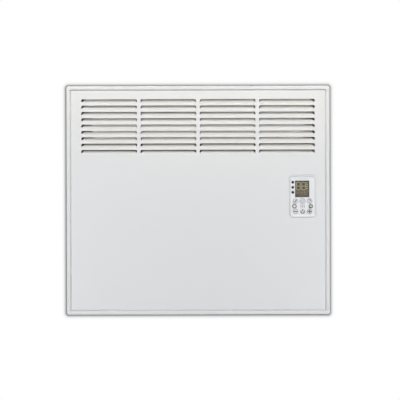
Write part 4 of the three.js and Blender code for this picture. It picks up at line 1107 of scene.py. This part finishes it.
    def border_rings(self) -> list[tuple[float, float, float]]:
        """The sheet's outer part as rings, from the field outwards and back.

        Returns:
            (inset, y, corner radius) for each ring.
        """
        foot_corner, border_corner = self.step_corners
        rings = [
            (self.step_foot, self.front + self.recess + self.groove_fall, foot_corner),
            (self.border, self.front + self.border_fall, border_corner),
            (self.mitre_line, self.front, self.corner - self.roll),
        ]
        for step in range(self.roll_steps + 1):
            angle = step / self.roll_steps * math.pi / 2
            inset = self.roll * (1 - math.sin(angle))
            fall = self.roll * (1 - math.cos(angle))
            rings.append((inset, self.front + fall, self.corner - inset))
        rings.append((0.0, self.back, self.corner))
        return rings

    def wrap(self, work: Workpiece, edges: list, line_i: Any, line_j: Any) -> list:
        """Draws the border, the rolled edge and the folded edge out of the field.

        Args:
            work: the workpiece.
            edges: the field's outer edges.
            line_i: the layer of column numbers.
            line_j: the layer of row numbers.

        Returns:
            The edges of the bends at the step.
        """
        bm = work.bm
        last_i, last_j = len(self.column_lines()) - 1, len(self.row_lines()) - 1
        creases = list(edges)
        for number, (inset, y, radius) in enumerate(self.border_rings()):
            verts, edges = work.draw(edges)
            half = Vector((self.half_width - inset, 0.0, self.half_height - inset))
            for vert in verts:
                right = math.copysign(1.0, vert.co.x)
                up = math.copysign(1.0, vert.co.z)
                level = vert[line_j] in (0, last_j)
                near = min(vert[line_i], last_i - vert[line_i])
                if not level:
                    near = min(vert[line_j], last_j - vert[line_j])
                share = near / self.corner_lines
                if share > 1:
                    x = vert.co.x if level else right * half.x
                    z = up * half.z if level else vert.co.z
                else:
                    angle = math.pi / 4 * (1 + share if level else 1 - share)
                    x = right * (half.x - radius + radius * math.cos(angle))
                    z = up * (half.z - radius + radius * math.sin(angle))
                vert.co = Vector((x, y - self.front - self.recess, z))
            if number < 2:
                creases += edges
        return creases

    def opening(self, reach: float) -> tuple[Vector, Workpiece]:
        """A block the shape of the control unit's outline.

        Args:
            reach: how far it goes past that outline.

        Returns:
            The unit's place from the panel's middle, and the block.
        """
        half, through = half_size("control_bezel"), 5 * self.sheet
        wide, tall, corner = (size + reach for size in (half.x, half.z, self.unit_corner))
        block = Workpiece().prism(wide, tall, corner, -through, through)
        return middle("control_bezel") - self.centre, block

    def dished_rim(self) -> Workpiece:
        """The sheet's dished rim around the control unit, sloping in to its opening."""
        half = half_size("control_bezel")
        inner, outer = -self.dish_lap, self.dish_reach + self.dish_lap
        rings = [
            (inner, self.dish_sink + self.dish_fall), (outer, self.dish_sink),
            (outer, self.sheet - self.dish_sink), (inner, self.dish_fall + self.sheet),
        ]
        rim = Workpiece().shell([
            (half.x + reach, half.z + reach, self.unit_corner + reach, y) for reach, y in rings
        ])
        spot, opening = self.opening(-self.hole_inset)
        rim.cut(Workpiece().add(opening, 0.0, 0.0, -self.dish_rise))
        return Workpiece().add(rim, spot.x, 0.0, spot.z + self.dish_rise)

    def holes(self) -> Workpiece:
        """The tool for the control unit's opening and the four screw holes."""
        spot, opening = self.opening(self.dish_reach)
        holes = Workpiece().add(opening, spot.x, 0.0, spot.z + self.dish_rise)
        rim, foot = self.screw_sink
        for number in range(1, 5):
            place = middle(f"casing_screw_{number}")
            side = math.copysign(1.0, place.x)
            head = Workpiece().turned([
                (0.0, -2 * self.sheet), (self.screw_head, -2 * self.sheet), (self.screw_head, rim),
                (self.screw_hole, foot), (self.screw_hole, 3 * self.sheet), (0.0, 3 * self.sheet),
            ], 24)
            head.move(Matrix.Rotation(side * math.pi / 2, 4, "Z"))
            y = place.y - self.front - self.recess
            holes.add(head, side * self.half_width, y, place.z - self.centre.z)
        return holes

    def build(self) -> None:
        """Builds the panel."""
        work = Workpiece()
        edges, line_i, line_j = self.field(work)
        creases = self.wrap(work, edges, line_i, line_j)
        work.bevel(creases, self.bend)
        work.thicken(self.sheet)
        work.cut(self.holes())
        work.add(self.dished_rim())
        field_y = self.front + self.recess
        work.move(shifted(self.centre.x, field_y, self.centre.z))
        # the coat darkens the deep louvre pockets with dust and painted shade
        coat = replace(WHITE_POWDER, dust_and_shade_from=field_y + self.dust_and_shade_depth)
        work.finish("pressed_panel", coat, ["front_panel"], 40.0)


# ---- Control unit --------------------------------------------------------------------


@dataclass
class ControlUnit:
    """The bezel, lamps, receiver and push buttons, with what is printed on them."""

    # the bezel: its rim, slopes, skirt and grip
    corner: float = 6.0 * MM
    rim: float = 0.8 * MM
    rim_round: float = 0.55 * MM
    dish: float = 2.2 * MM
    side_slope: float = 2.2 * MM
    end_slope: float = 3.0 * MM
    wall: float = 1.6 * MM
    skirt_inset: float = 1.0 * MM
    skirt_wall: float = 1.4 * MM
    gap: float = 0.35 * MM
    lip_width: float = 27.0 * MM
    lip_drop: float = 3.6 * MM
    lip_rise: float = 0.6 * MM
    lip_top: float = 0.9 * MM
    lip_bed: float = 0.2 * MM
    lip_sheet: float = 0.6 * MM
    lip_end: float = 0.05 * MM
    lip_lift: float = 0.12
    lip_power: float = 0.6
    rim_side: float = 0.7 * MM
    edge_round: float = 0.18 * MM
    # the buttons and lenses
    button_radius: float = 4.2 * MM
    cap_round: float = 0.5 * MM
    collar: float = 0.8 * MM
    ink: float = 0.03 * MM
    uses: tuple[str, ...] = ("boost", "timer", "comfort", "clock", "minus", "power", "plus")
    outlined: tuple[str, ...] = ("boost", "timer", "minus", "plus")
    faint: tuple[str, ...] = ("boost", "timer")
    line_radii: tuple[float, float] = (4.5 * MM, 5.05 * MM)
    lamp_radius: float = 2.5 * MM
    receiver_radius: float = 5.9 * MM
    lens_seat: float = 1.9 * MM
    # the symbols, in millimetres: rings as radii, strokes as length, width, x, z and turn
    hoops: ClassVar[dict[str, tuple[float, float]]] = {"comfort": (2.75, 4.1), "clock": (2.7, 4.0)}
    power_ring: tuple[float, float] = (2.6, 4.05)
    strokes: ClassVar[dict[str, tuple[tuple[float, ...], ...]]] = {
        "boost": (
            (3.6, 1.5, 0.9, 1.2, 40.0), (2.6, 0.9, 0.0, 0.0, 80.0), (3.4, 1.1, -0.9, -1.5, 40.0),
        ),
        "timer": ((1.1, 4.2, 0.1, 2.4, 0.0), (5.0, 0.9, 0.8, -0.2, 24.0)),
        "clock": (
            (1.5, 3.6, -1.3, -2.0, 40.0), (2.6, 0.8, 0.0, 1.2, 0.0), (0.8, 2.2, 1.0, 0.0, 0.0),
        ),
        "minus": ((1.4, 8.0, 0.0, 0.0, 0.0),),
        "power": ((4.3, 1.4, 0.0, 2.5, 0.0),),
        "plus": (
            (1.4, 8.0, 0.0, 0.0, 0.0), (3.2, 1.4, 0.0, 2.3, 0.0), (3.2, 1.4, 0.0, -2.3, 0.0),
        ),
    }
    # the sign for warmth
    wave_bar: tuple[float, float] = (0.8 * MM, 1.75 * MM)
    wave_gap: float = 3.2 * MM
    wave_rise: float = 1.45 * MM
    wave_lean: float = 24.0

    def __post_init__(self) -> None:
        """Takes the unit's box from the frame."""
        low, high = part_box("control_bezel")
        self.half = half_size("control_bezel")
        self.centre = middle("control_bezel")
        self.proud = low.y
        self.back = high.y
        self.face = low.y + self.dish

    def build(self) -> None:
        """Builds the whole unit."""
        self.bezel()
        self.lamps()
        self.buttons()
        self.key_lines()
        self.heat_mark()

    def bezel(self) -> None:
        """Builds the frame with its sunk face, holes and grip."""
        work = Workpiece()
        slope_x, slope_z = self.rim + self.side_slope, self.rim + self.end_slope
        inner = self.skirt_inset + self.skirt_wall
        under = self.proud + self.rim_side
        rings = [(slope_x, slope_z, self.face)]
        rings += [(inset, inset, y) for inset, y in (
            (self.rim, self.proud), (self.rim_round, self.proud),
            (0.0, self.proud + self.rim_round), (0.0, under),
            (self.skirt_inset, under), (self.skirt_inset, self.back),
            (inner, self.back), (inner, self.face + self.wall),
        )]
        work.shell([
            (self.half.x - side, self.half.z - end, self.corner - side, y) for side, end, y in rings
        ])
        work.soften(self.edge_round, 20.0)
        work.cut(self.openings())
        work.add(self.grip())
        work.move(shifted(self.centre.x, 0.0, self.centre.z))
        work.finish("bezel", WHITE_PLASTIC, ["control_bezel"], 40.0)

    def openings(self) -> Workpiece:
        """The tool for the window, lamp, receiver and button holes."""
        front, back = self.proud - self.wall, self.face + 2 * self.wall
        half = half_size("display_module") + Vector((self.gap, 0.0, self.gap))
        spot = middle("display_module") - self.centre
        tool = Workpiece().add(
            Workpiece().prism(half.x, half.z, 2 * self.gap, front, back), spot.x, 0.0, spot.z,
        )
        round_ones = [("receiver_lens", self.receiver_radius)]
        round_ones += [(f"status_lamp_{number}", self.lamp_radius) for number in (1, 2, 3)]
        round_ones += [(f"button_{use}", self.button_radius) for use in self.uses]
        for node, radius in round_ones:
            place = middle(node) - self.centre
            size = radius + self.gap
            hole = Workpiece().turned([(0.0, front), (size, front), (size, back), (0.0, back)])
            tool.add(hole, place.x, 0.0, place.z)
        return tool

    def grip(self) -> Workpiece:
        """The crescent grip that hangs from the top slope."""
        work = Workpiece()
        grid = bmesh.ops.create_grid(work.bm, x_segments=24, y_segments=6, size=1.0)
        top = self.half.z - self.rim - self.end_slope + self.lip_top
        for vert in grid["verts"]:
            across, up = vert.co.x, (vert.co.y + 1) / 2
            drop = self.lip_drop * (1 - across * across) + self.lip_end
            z = top - drop * (1 - up)
            bulge = math.sin(math.pi * min(up + self.lip_lift, 1.0)) ** self.lip_power
            proud = (self.lip_rise + self.lip_bed) * bulge * (1 - across ** 4)
            y = self.face + self.lip_bed - proud
            vert.co = Vector((across * self.lip_width / 2, y, z))
        work.thicken(self.lip_sheet)
        return work

    def lamps(self) -> None:
        """Builds the lamp lenses and the receiver's lens."""
        lenses = [
            (f"status_lamp_{number}", f"status_lamp_{number}_lens", self.lamp_radius, DARK_LENS)
            for number in (1, 2, 3)
        ]
        lenses.append(("receiver_lens", "receiver_window", self.receiver_radius, PALE_LENS))
        falls = ((0.0, 0.0), (0.35, 0.02), (0.7, 0.12), (0.9, 0.26), (1.0, 0.55))
        for node, name, size, finish in lenses:
            low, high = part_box(node)
            seat = self.face + self.lens_seat
            dome = [(share * size, low.y + fall * MM) for share, fall in falls]
            behind = [(size, seat), (0.6 * size, seat), (0.6 * size, high.y), (0.0, high.y)]
            place = middle(node)
            work = Workpiece().turned(dome + behind).move(shifted(place.x, 0.0, place.z))
            work.finish(name, finish, [node])

    def buttons(self) -> None:
        """Builds the caps and the symbols printed on them."""
        for use in self.uses:
            node = f"button_{use}"
            low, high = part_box(node)
            flange, seat = (high.x - low.x) / 2, high.y - self.collar
            profile = rounded(self.button_radius, low.y, self.cap_round)
            profile += [(self.button_radius, seat), (flange, seat), (flange, high.y), (0.0, high.y)]
            place = middle(node)
            shift = shifted(place.x, 0.0, place.z)
            cap = Workpiece().turned(profile).move(shift)
            cap.finish(f"cap_{use}", CAP_PLASTIC, [node], body=node)
            ink = PALE_INK if use in self.faint else SYMBOL_INK
            symbol = self.symbol(use, low.y - self.ink, low.y + self.ink).move(shift)
            symbol.finish(f"symbol_{use}", ink, body=node)

    def symbol(self, use: str, front: float, back: float) -> Workpiece:
        """A button's printed symbol, centred on the Y axis.

        Args:
            use: what the button does.
            front: the depth of the print's front.
            back: the depth of the print's back.

        Returns:
            The symbol.
        """
        work = Workpiece()
        if use in self.hoops:
            inner, outer = (radius * MM for radius in self.hoops[use])
            work.add(Workpiece().ring(inner, outer, front, back))
        if use == "power":
            self.open_ring(work, *self.power_ring, front, back)
        for length, width, x, z, turn in self.strokes.get(use, ()):
            bar = Workpiece().bar(width * MM, length * MM, front, back)
            work.add(bar, x * MM, 0.0, z * MM, turn)
        return work

    @staticmethod
    def open_ring(work: Workpiece, inner: float, outer: float, front: float, back: float) -> None:
        """Adds a ring that is open at its top.

        Args:
            work: the workpiece that takes it in.
            inner: its inner radius, in millimetres.
            outer: its outer radius, in millimetres.
            front: the depth of its front.
            back: the depth of its back.
        """
        arc, sweep = Workpiece(), 244.0
        corners = [(inner, front), (outer, front), (outer, back), (inner, back)]
        points = [arc.bm.verts.new((radius * MM, y, 0.0)) for radius, y in corners]
        end = arc.bm.faces.new(points)
        arc.spin([end, *end.edges, *points], sweep, 36)
        work.add(arc, turn=-90.0 + (360.0 - sweep) / 2)

    def key_lines(self) -> None:
        """Prints a thin line round each outlined button."""
        work = Workpiece()
        for use in self.outlined:
            place = middle(f"button_{use}")
            line = Workpiece().ring(*self.line_radii, self.face - self.ink, self.face + self.ink)
            work.add(line, place.x, 0.0, place.z)
        work.finish("button_lines", LINE_INK)

    def heat_mark(self) -> None:
        """Prints three rising waves, a plain sign for warmth, between the middle buttons."""
        place = (middle("button_comfort") + middle("button_clock")) / 2
        work = Workpiece()
        for number in (-1, 0, 1):
            for step in range(4):
                bar = Workpiece().bar(*self.wave_bar, -self.ink, 2 * self.ink)
                lean = self.wave_lean if step % 2 else -self.wave_lean
                work.add(bar, number * self.wave_gap, 0.0, (step - 1.5) * self.wave_rise, lean)
        work.move(shifted(place.x, self.face, place.z))
        work.finish("heat_mark", PALE_INK)


# ---- Display -------------------------------------------------------------------------


@dataclass
class Display:
    """The liquid-crystal display and the smoked pane in front of it."""

    # the face and the pane
    ink: float = 0.03 * MM
    pane_corner: float = 0.3 * MM
    face_round: float = 0.1 * MM
    pane_round: float = 0.2 * MM
    pane_gap: float = 0.6 * MM
    # the digits and marks, from the control unit's middle
    digit_size: tuple[float, float, float] = (9.2 * MM, 16.4 * MM, 1.8 * MM)
    digit_ground: tuple[float, float] = (8.0 * MM, 15.2 * MM)
    digit_x: tuple[float, ...] = (-7.4 * MM, 3.0 * MM)
    digit_z: float = 20.3 * MM
    small_size: tuple[float, float, float] = (3.0 * MM, 4.2 * MM, 0.55 * MM)
    small_x: tuple[float, ...] = (-9.8 * MM, -5.6 * MM, -0.2 * MM, 4.3 * MM)
    small_z: float = 7.3 * MM
    side_line: tuple[float, float] = (0.4 * MM, 13.0 * MM)
    side_line_x: float = 9.9 * MM
    side_line_z: float = 6.6 * MM
    mark_size: tuple[float, float] = (2.2 * MM, 1.9 * MM)
    mark_x: float = 9.8 * MM
    mark_z: tuple[float, ...] = (26.8 * MM, 23.1 * MM, 19.4 * MM, 15.6 * MM)

    def build(self) -> None:
        """Builds the display's face, its segments and the smoked window."""
        low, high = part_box("display_module")
        half, centre = half_size("display_module"), middle("display_module")
        place = shifted(centre.x, 0.0, centre.z)
        crystal = replace(CRYSTAL, low_z=low.z, high_z=high.z)
        face = Workpiece().prism(half.x, half.z, self.pane_corner, low.y, high.y)
        face.soften(self.face_round)
        face.move(place).finish("display_face", crystal, ["display_module"])
        self.segments(low.y)
        front, back = (corner.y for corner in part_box("display_window"))
        pane = Workpiece().prism(half.x, half.z, self.pane_corner, front, back - self.pane_gap)
        pane.soften(self.pane_round)
        pane.move(place).finish("window_pane", SMOKED_PANE, ["display_window"])

    def segments(self, face: float) -> None:
        """Lays the display's digits and marks on its face.

        Args:
            face: the depth of the display's front.
        """
        sign, dark, faint, marks = (Workpiece() for _ in range(4))

        def bar(width: float, height: float) -> Workpiece:
            """A plain bar on the face."""
            return Workpiece().bar(width, height, face - self.ink, face)

        for x in self.digit_x:
            sign.add(self.digit(*self.digit_size, face - self.ink), x, 0.0, self.digit_z)
            dark.add(bar(*self.digit_ground), x, 0.0, self.digit_z)
        for x in self.small_x:
            faint.add(self.digit(*self.small_size, face), x, 0.0, self.small_z)
        faint.add(bar(*self.side_line), self.side_line_x, 0.0, self.side_line_z)
        for z in self.mark_z:
            marks.add(bar(*self.mark_size), self.mark_x, 0.0, z)
        centre = middle("control_bezel")
        shift = shifted(centre.x, 0.0, centre.z)
        sign.move(shift).finish("display_digits", SEGMENT_INK)
        dark.move(shift).finish("display_digit_grounds", DARK_INK)
        faint.move(shift).finish("display_small_digits", FAINT_INK)
        marks.move(shift).finish("display_marks", BRIGHT_INK)

    def digit(self, width: float, height: float, stroke: float, face: float) -> Workpiece:
        """A seven-segment eight.

        Args:
            width: its width.
            height: its height.
            stroke: its segments' width.
            face: the depth of the display's front.

        Returns:
            The digit, centred on the Y axis.
        """
        work = Workpiece()
        gap = 0.12 * stroke
        level = width - 2 * stroke - 2 * gap
        upright = (height - 3 * stroke) / 2 - 2 * gap
        for z in (-1, 0, 1):
            bar = Workpiece().bar(level + stroke, stroke, face - self.ink, face)
            work.add(bar, 0.0, 0.0, z * (height - stroke) / 2)
        for x in (-1, 1):
            for z in (-1, 1):
                bar = Workpiece().bar(stroke, upright + stroke, face - self.ink, face)
                work.add(bar, x * (width - stroke) / 2, 0.0, z * (height - stroke) / 4)
        return work


# ---- Back and fasteners --------------------------------------------------------------


@dataclass
class Fasteners:
    """The casing screws, the wall spacers and the cable's bush."""

    head: float = 2.9 * MM
    shank: float = 1.6 * MM
    recess: float = 0.9 * MM
    cross: tuple[float, float] = (3.0 * MM, 0.8 * MM)
    base_height: float = 17.7 * MM

    def build(self) -> None:
        """Builds each of them."""
        self.screws()
        self.spacers()
        self.cable_bush()

    def screws(self) -> None:
        """Builds the countersunk screws, each with a cross recess."""
        for number in range(1, 5):
            node = f"casing_screw_{number}"
            low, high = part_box(node)
            length = high.x - low.x
            side = math.copysign(1.0, middle(node).x)
            work = Workpiece().turned([
                (0.0, 0.0), (self.head - 0.1 * MM, 0.0), (self.head, 0.1 * MM),
                (self.head, 0.25 * MM), (self.shank, 1.4 * MM), (self.shank, length - 1.5 * MM),
                (0.2 * MM, length), (0.0, length),
            ], 32)
            for width, height in (self.cross, reversed(self.cross)):
                work.cut(Workpiece().bar(width, height, -self.recess, self.recess))
            work.move(Matrix.Rotation(side * math.pi / 2, 4, "Z"))
            outer = side * max(abs(low.x), abs(high.x))
            work.move(shifted(outer, middle(node).y, middle(node).z))
            work.finish(f"{node}_head", SCREW_ZINC, [node])

    def spacers(self) -> None:
        """Builds the two wall spacers."""
        for side in ("left", "right"):
            node = f"wall_spacer_{side}"
            low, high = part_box(node)
            base = (high.x - low.x) / 2
            back, rim = high.y, high.y - self.base_height
            work = Workpiece().turned([
                (0.0, low.y), (3.4 * MM, low.y), (4.0 * MM, low.y + 0.5 * MM),
                (5.0 * MM, low.y + 3.0 * MM), (4.0 * MM, low.y + 3.1 * MM), (4.0 * MM, rim),
                (base - 0.6 * MM, rim),
                (base, rim + 0.6 * MM), (base - 2.4 * MM, back - 0.8 * MM), (base - 3.2 * MM, back),
                (0.0, back),
            ])
            work.move(shifted(middle(node).x, 0.0, middle(node).z))
            work.finish(f"spacer_{side}", GREY_PLASTIC, [node])

    def cable_bush(self) -> None:
        """Builds the snap-in bush of the mains cable."""
        low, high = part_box("cable_bush")
        place = middle("cable_bush")
        bore, rim, neck = 4.4 * MM, 11.0 * MM, 8.0 * MM
        base = low.z
        work = Workpiece().turned([
            (bore, 0.5 * MM), (bore + 0.5 * MM, 0.0), (rim - 1.2 * MM, 0.0), (rim, 1.2 * MM),
            (rim, 2.4 * MM), (neck, 2.4 * MM), (neck, 3.9 * MM), (neck + 1.2 * MM, 3.9 * MM),
            (neck - 1.2 * MM, high.z - base), (bore, high.z - base), (bore, 0.5 * MM),
        ])
        work.move(FRONTWARDS)
        work.move(shifted(place.x, place.y, base))
        work.finish("inlet_bush", BLACK_PLASTIC, ["cable_bush"])


# ---- CAD nodes that stay -------------------------------------------------------------


@dataclass
class CarriedNodes:
    """The CAD nodes whose own shape is shown, with a finish for each."""

    finishes: dict[str, Finish] = field(default_factory=lambda: {
        "wall_rail": ZINC,
        "rear_casing": CASING_POWDER,
        "control_housing": BLACK_PLASTIC,
        "display_board": BOARD,
        "heat_shield": ALUMINIUM,
        "air_deflector": ALUMINIUM,
        "partition": ZINC,
        "element_fins": EXTRUSION,
        "heating_rod": SHEATH,
        "element_bush_left": CERAMIC,
        "element_bush_right": CERAMIC,
        "element_stay_left": ZINC,
        "element_stay_right": ZINC,
        "overheat_cut_out": BLACK_PLASTIC,
        "sensor_clip": WHITE_PLASTIC,
        "room_sensor": BLACK_PLASTIC,
        "board_carrier": GREY_PLASTIC,
        "power_board": BOARD,
        "heat_relay": RELAY_PLASTIC,
        "board_transformer": BLACK_PLASTIC,
        "terminal_block": WHITE_PLASTIC,
    })

    def build(self) -> None:
        """Gives each node its finish."""
        switches = {name: BLACK_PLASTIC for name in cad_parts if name.startswith("switch_")}
        for name, finish in {**self.finishes, **switches}.items():
            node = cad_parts[name]
            node.data.materials.clear()
            node.data.materials.append(finish.material())
            LOG.info("%s: carried over, %s", name, finish.name)


# ---- Studio --------------------------------------------------------------------------


@dataclass(frozen=True)
class Softbox:
    """One soft rectangular light."""

    name: str
    place: Point
    aim: Point
    width: float
    height: float
    power: float
    colour: Colour

    def hang(self) -> None:
        """Hangs the light where it belongs and turns it to its aim."""
        data = bpy.data.lights.new(self.name, "AREA")
        data.shape = "RECTANGLE"
        data.size, data.size_y = self.width, self.height
        data.energy = self.power
        data.color = self.colour
        light = linked(self.name, data)
        light.location = self.place
        heading = Vector(self.aim) - Vector(self.place)
        light.rotation_euler = heading.to_track_quat("-Z", "Y").to_euler()


def mirrored(name: str, place: Point, aim: Point, width: float, height: float,
             powers: tuple[float, float], colour: Colour) -> tuple[Softbox, ...]:
    """A pair of lights, to the left and to the right.

    Args:
        name: what follows "left_" and "right_" in their names.
        place: the right light's place.
        aim: the right light's aim.
        width: their width.
        height: their height.
        powers: the left and the right light's power.
        colour: their colour.

    Returns:
        The left light and the right light.
    """
    pair = []
    for side, power, sign in (("left", powers[0], -1.0), ("right", powers[1], 1.0)):
        spot, target = ((sign * point[0], *point[1:]) for point in (place, aim))
        pair.append(Softbox(f"{side}_{name}", spot, target, width, height, power, colour))
    return tuple(pair)


KEY_LIGHT = Softbox(
    "key_light", (0.0, -1.3, 1.2), (0.0, -0.08, 0.0), 1.6, 0.5, 13.2, (1.0, 0.985, 0.955),
)
REAR_LIGHT = Softbox(
    "rear_light", (0.0, 1.3, 0.3), (0.0, 0.0, -0.1), 1.2, 0.6, 9.0, (1.0, 0.99, 0.97),
)
STRIPS = mirrored(
    "strip", (0.27, -0.24, 0.3), (0.25, -0.08, 0.1), 0.5, 0.06, (0.25, 0.27), (1.0, 0.93, 0.72),
)
SIDE_LIGHTS = mirrored(
    "light", (0.75, -0.95, -0.35), (0.2, -0.08, -0.2), 0.5, 0.8, (3.2, 3.2), (0.905, 0.94, 1.0),
)


@dataclass
class Studio:
    """The wall, the floor, the lights and the camera."""

    # the camera: the photo's size and the panel's place on it, in pixels
    image: float = 400.0
    photo_width: float = 263.9
    photo_x: float = 198.2
    photo_y: float = 200.2
    distance: float = 0.75
    roll: float = 0.14
    # the floor and the wall, with the soft shadow on it
    floor_z: float = -0.78
    reach: float = 6.0
    halo_reach: float = 4.0 * MM
    halo_depth: float = 0.22
    halo_rim: float = 0.57
    halo_fade: float = 20.0 * MM
    halo_right: float = -0.7 * MM
    halo_down: float = 0.3 * MM
    # the room's own light
    fill: float = 0.5
    behind: float = 0.4
    room_base: float = 0.05
    room_gain: float = 1.12
    room_focus: float = 1.5
    room_rise: float = 0.05
    room_least: float = 0.02
    room_low: Colour = (0.92, 0.945, 1.0)
    room_high: Colour = (0.94, 0.96, 1.0)
    # the sheets and the lights
    wall_gap: float = 2.0 * MM
    floor_colour: tuple[float, float, float, float] = (0.62, 0.62, 0.617, 1.0)
    floor_glow: float = 0.8
    softboxes: tuple[Softbox, ...] = (KEY_LIGHT, *STRIPS, REAR_LIGHT, *SIDE_LIGHTS)
    panel: FrontPanel = field(default_factory=FrontPanel)

    def build(self) -> None:
        """Builds everything round the object."""
        self.camera()
        self.wall()
        self.floor()
        self.world()
        self.lights()
        bpy.context.scene.view_settings.view_transform = "Standard"

    def camera(self) -> None:
        """Sets up the camera square to the front."""
        pixel = 2 * self.panel.half_width / self.photo_width
        width = pixel * self.image
        data = bpy.data.cameras.new("camera")
        data.sensor_fit = "HORIZONTAL"
        data.sensor_width = 36.0
        data.lens = data.sensor_width * self.distance / width
        data.clip_start = 0.01
        camera = linked("camera", data)
        camera.location = (
            self.panel.centre.x + (self.image / 2 - self.photo_x) * pixel,
            self.panel.front - self.distance,
            self.panel.centre.z - (self.image / 2 - self.photo_y) * pixel,
        )
        camera.rotation_euler = (math.pi / 2, math.radians(self.roll), 0.0)
        bpy.context.scene.camera = camera

    def plane(self, name: str, matrix: Matrix, material: bpy.types.Material) -> None:
        """Lays a large flat sheet.

        Args:
            name: its name.
            matrix: its place.
            material: its material.
        """
        work = Workpiece()
        bmesh.ops.create_grid(work.bm, x_segments=1, y_segments=1, size=self.reach, matrix=matrix)
        mesh = work.mesh(name)
        mesh.materials.append(material)
        linked(name, mesh)

    @staticmethod
    def seen(shading: Shading) -> Signal:
        """1 for the rays that look at the background, and 0 for the rest.

        Args:
            shading: the node tree.

        Returns:
            The sum of camera, glossy and transmission rays.
        """
        rays = shading.node("ShaderNodeLightPath", output="Is Camera Ray")
        for name in ("Is Glossy Ray", "Is Transmission Ray"):
            rays = rays + shading.node("ShaderNodeLightPath", output=name)
        return rays.at_most(1.0)

    def wall(self) -> None:
        """Builds the white wall, with the thin soft shadow round the heater."""
        material = bpy.data.materials.new("white_wall")
        shading = Shading(material)
        point = shading.node("ShaderNodeTexCoord", output="Object")
        spread = (self.distance - self.panel.front) / self.distance
        across = shading.part(point, "X")
        upward = shading.part(point, "Z")
        middle_x = self.panel.centre.x + self.halo_right
        middle_z = self.panel.centre.z - self.halo_down
        beside = (across - middle_x).size() - self.panel.half_width * spread
        above = (upward - middle_z).size() - self.panel.half_height * spread
        corner = self.panel.corner
        past_x, past_z = (beside + corner).at_least(0.0), (above + corner).at_least(0.0)
        outside = ((past_x ** 2.0 + past_z ** 2.0) ** 0.5 - corner).at_least(0.0)
        inside = (-1.0 * beside.at_least(above)).at_least(0.0)
        within = self.halo_depth + self.halo_rim * self.fade(inside / self.halo_fade)
        dark = self.fade(outside / self.halo_reach) * within
        glow = shading.node("ShaderNodeEmission", sockets={"Strength": 1.0 - dark})
        clear = shading.node("ShaderNodeBsdfTransparent")
        behind = shading.node("ShaderNodeNewGeometry", output="Backfacing")
        shown = self.seen(shading) * (1.0 - behind)
        shading.finish(shading.node("ShaderNodeMixShader", sockets={0: shown, 1: clear, 2: glow}))
        upright = shifted(0.0, self.wall_gap, 0.0) @ FRONTWARDS
        self.plane("white_wall", upright, material)

    @staticmethod
    def fade(share: Signal) -> Signal:
        """A soft fall from 1 towards 0 as the share grows."""
        return FADE_BASE ** (-1.0 * share ** 1.5)

    def floor(self) -> None:
        """Builds the pale floor below the view."""
        material = bpy.data.materials.new("pale_floor")
        shading = Shading(material)
        matt = shading.node("ShaderNodeBsdfDiffuse", sockets={"Color": self.floor_colour})
        glow = shading.node("ShaderNodeEmission", sockets={"Strength": 1.0})
        share = self.floor_glow * self.seen(shading)
        shading.finish(shading.node("ShaderNodeMixShader", sockets={0: share, 1: matt, 2: glow}))
        self.plane("pale_floor", shifted(0.0, 0.0, self.floor_z), material)

    def world(self) -> None:
        """Sets the room's own light: bright in front and behind, darker at the sides."""
        world = bpy.data.worlds.new("studio")
        bpy.context.scene.world = world
        shading = Shading(world)
        heading = shading.node("ShaderNodeTexCoord", output="Generated")
        depth = shading.part(heading, "Y")
        ahead = (-1.0 * depth).at_least(0.0) + self.behind * depth.at_least(0.0)
        upward = shading.part(heading, "Z")
        spread = self.room_gain * ahead ** self.room_focus + self.room_rise * upward
        level = (self.fill * (self.room_base + spread)).at_least(self.room_least)
        colour = shading.tint(upward * 0.5 + 0.5, self.room_low, self.room_high)
        room = shading.node("ShaderNodeBackground", sockets={"Color": colour, "Strength": level})
        white = shading.node("ShaderNodeBackground", sockets={"Strength": 1.0})
        camera = shading.node("ShaderNodeLightPath", output="Is Camera Ray")
        mixed = shading.node("ShaderNodeMixShader", sockets={0: camera, 1: room, 2: white})
        shading.node("ShaderNodeOutputWorld", sockets={"Surface": mixed})

    def lights(self) -> None:
        """Hangs the soft lights."""
        for light in self.softboxes:
            light.hang()
            LOG.info("%s: %.1f W", light.name, light.power)


def main() -> None:
    """Builds the object and its studio, in order."""
    logging.basicConfig(level=logging.INFO, format="%(name)s: %(message)s")
    parts = (Studio(), CarriedNodes(), FrontPanel(), ControlUnit(), Display(), Fasteners())
    for part in parts:
        LOG.info("building %s", type(part).__name__)
        part.build()


if __name__ == "__main__":
    main()
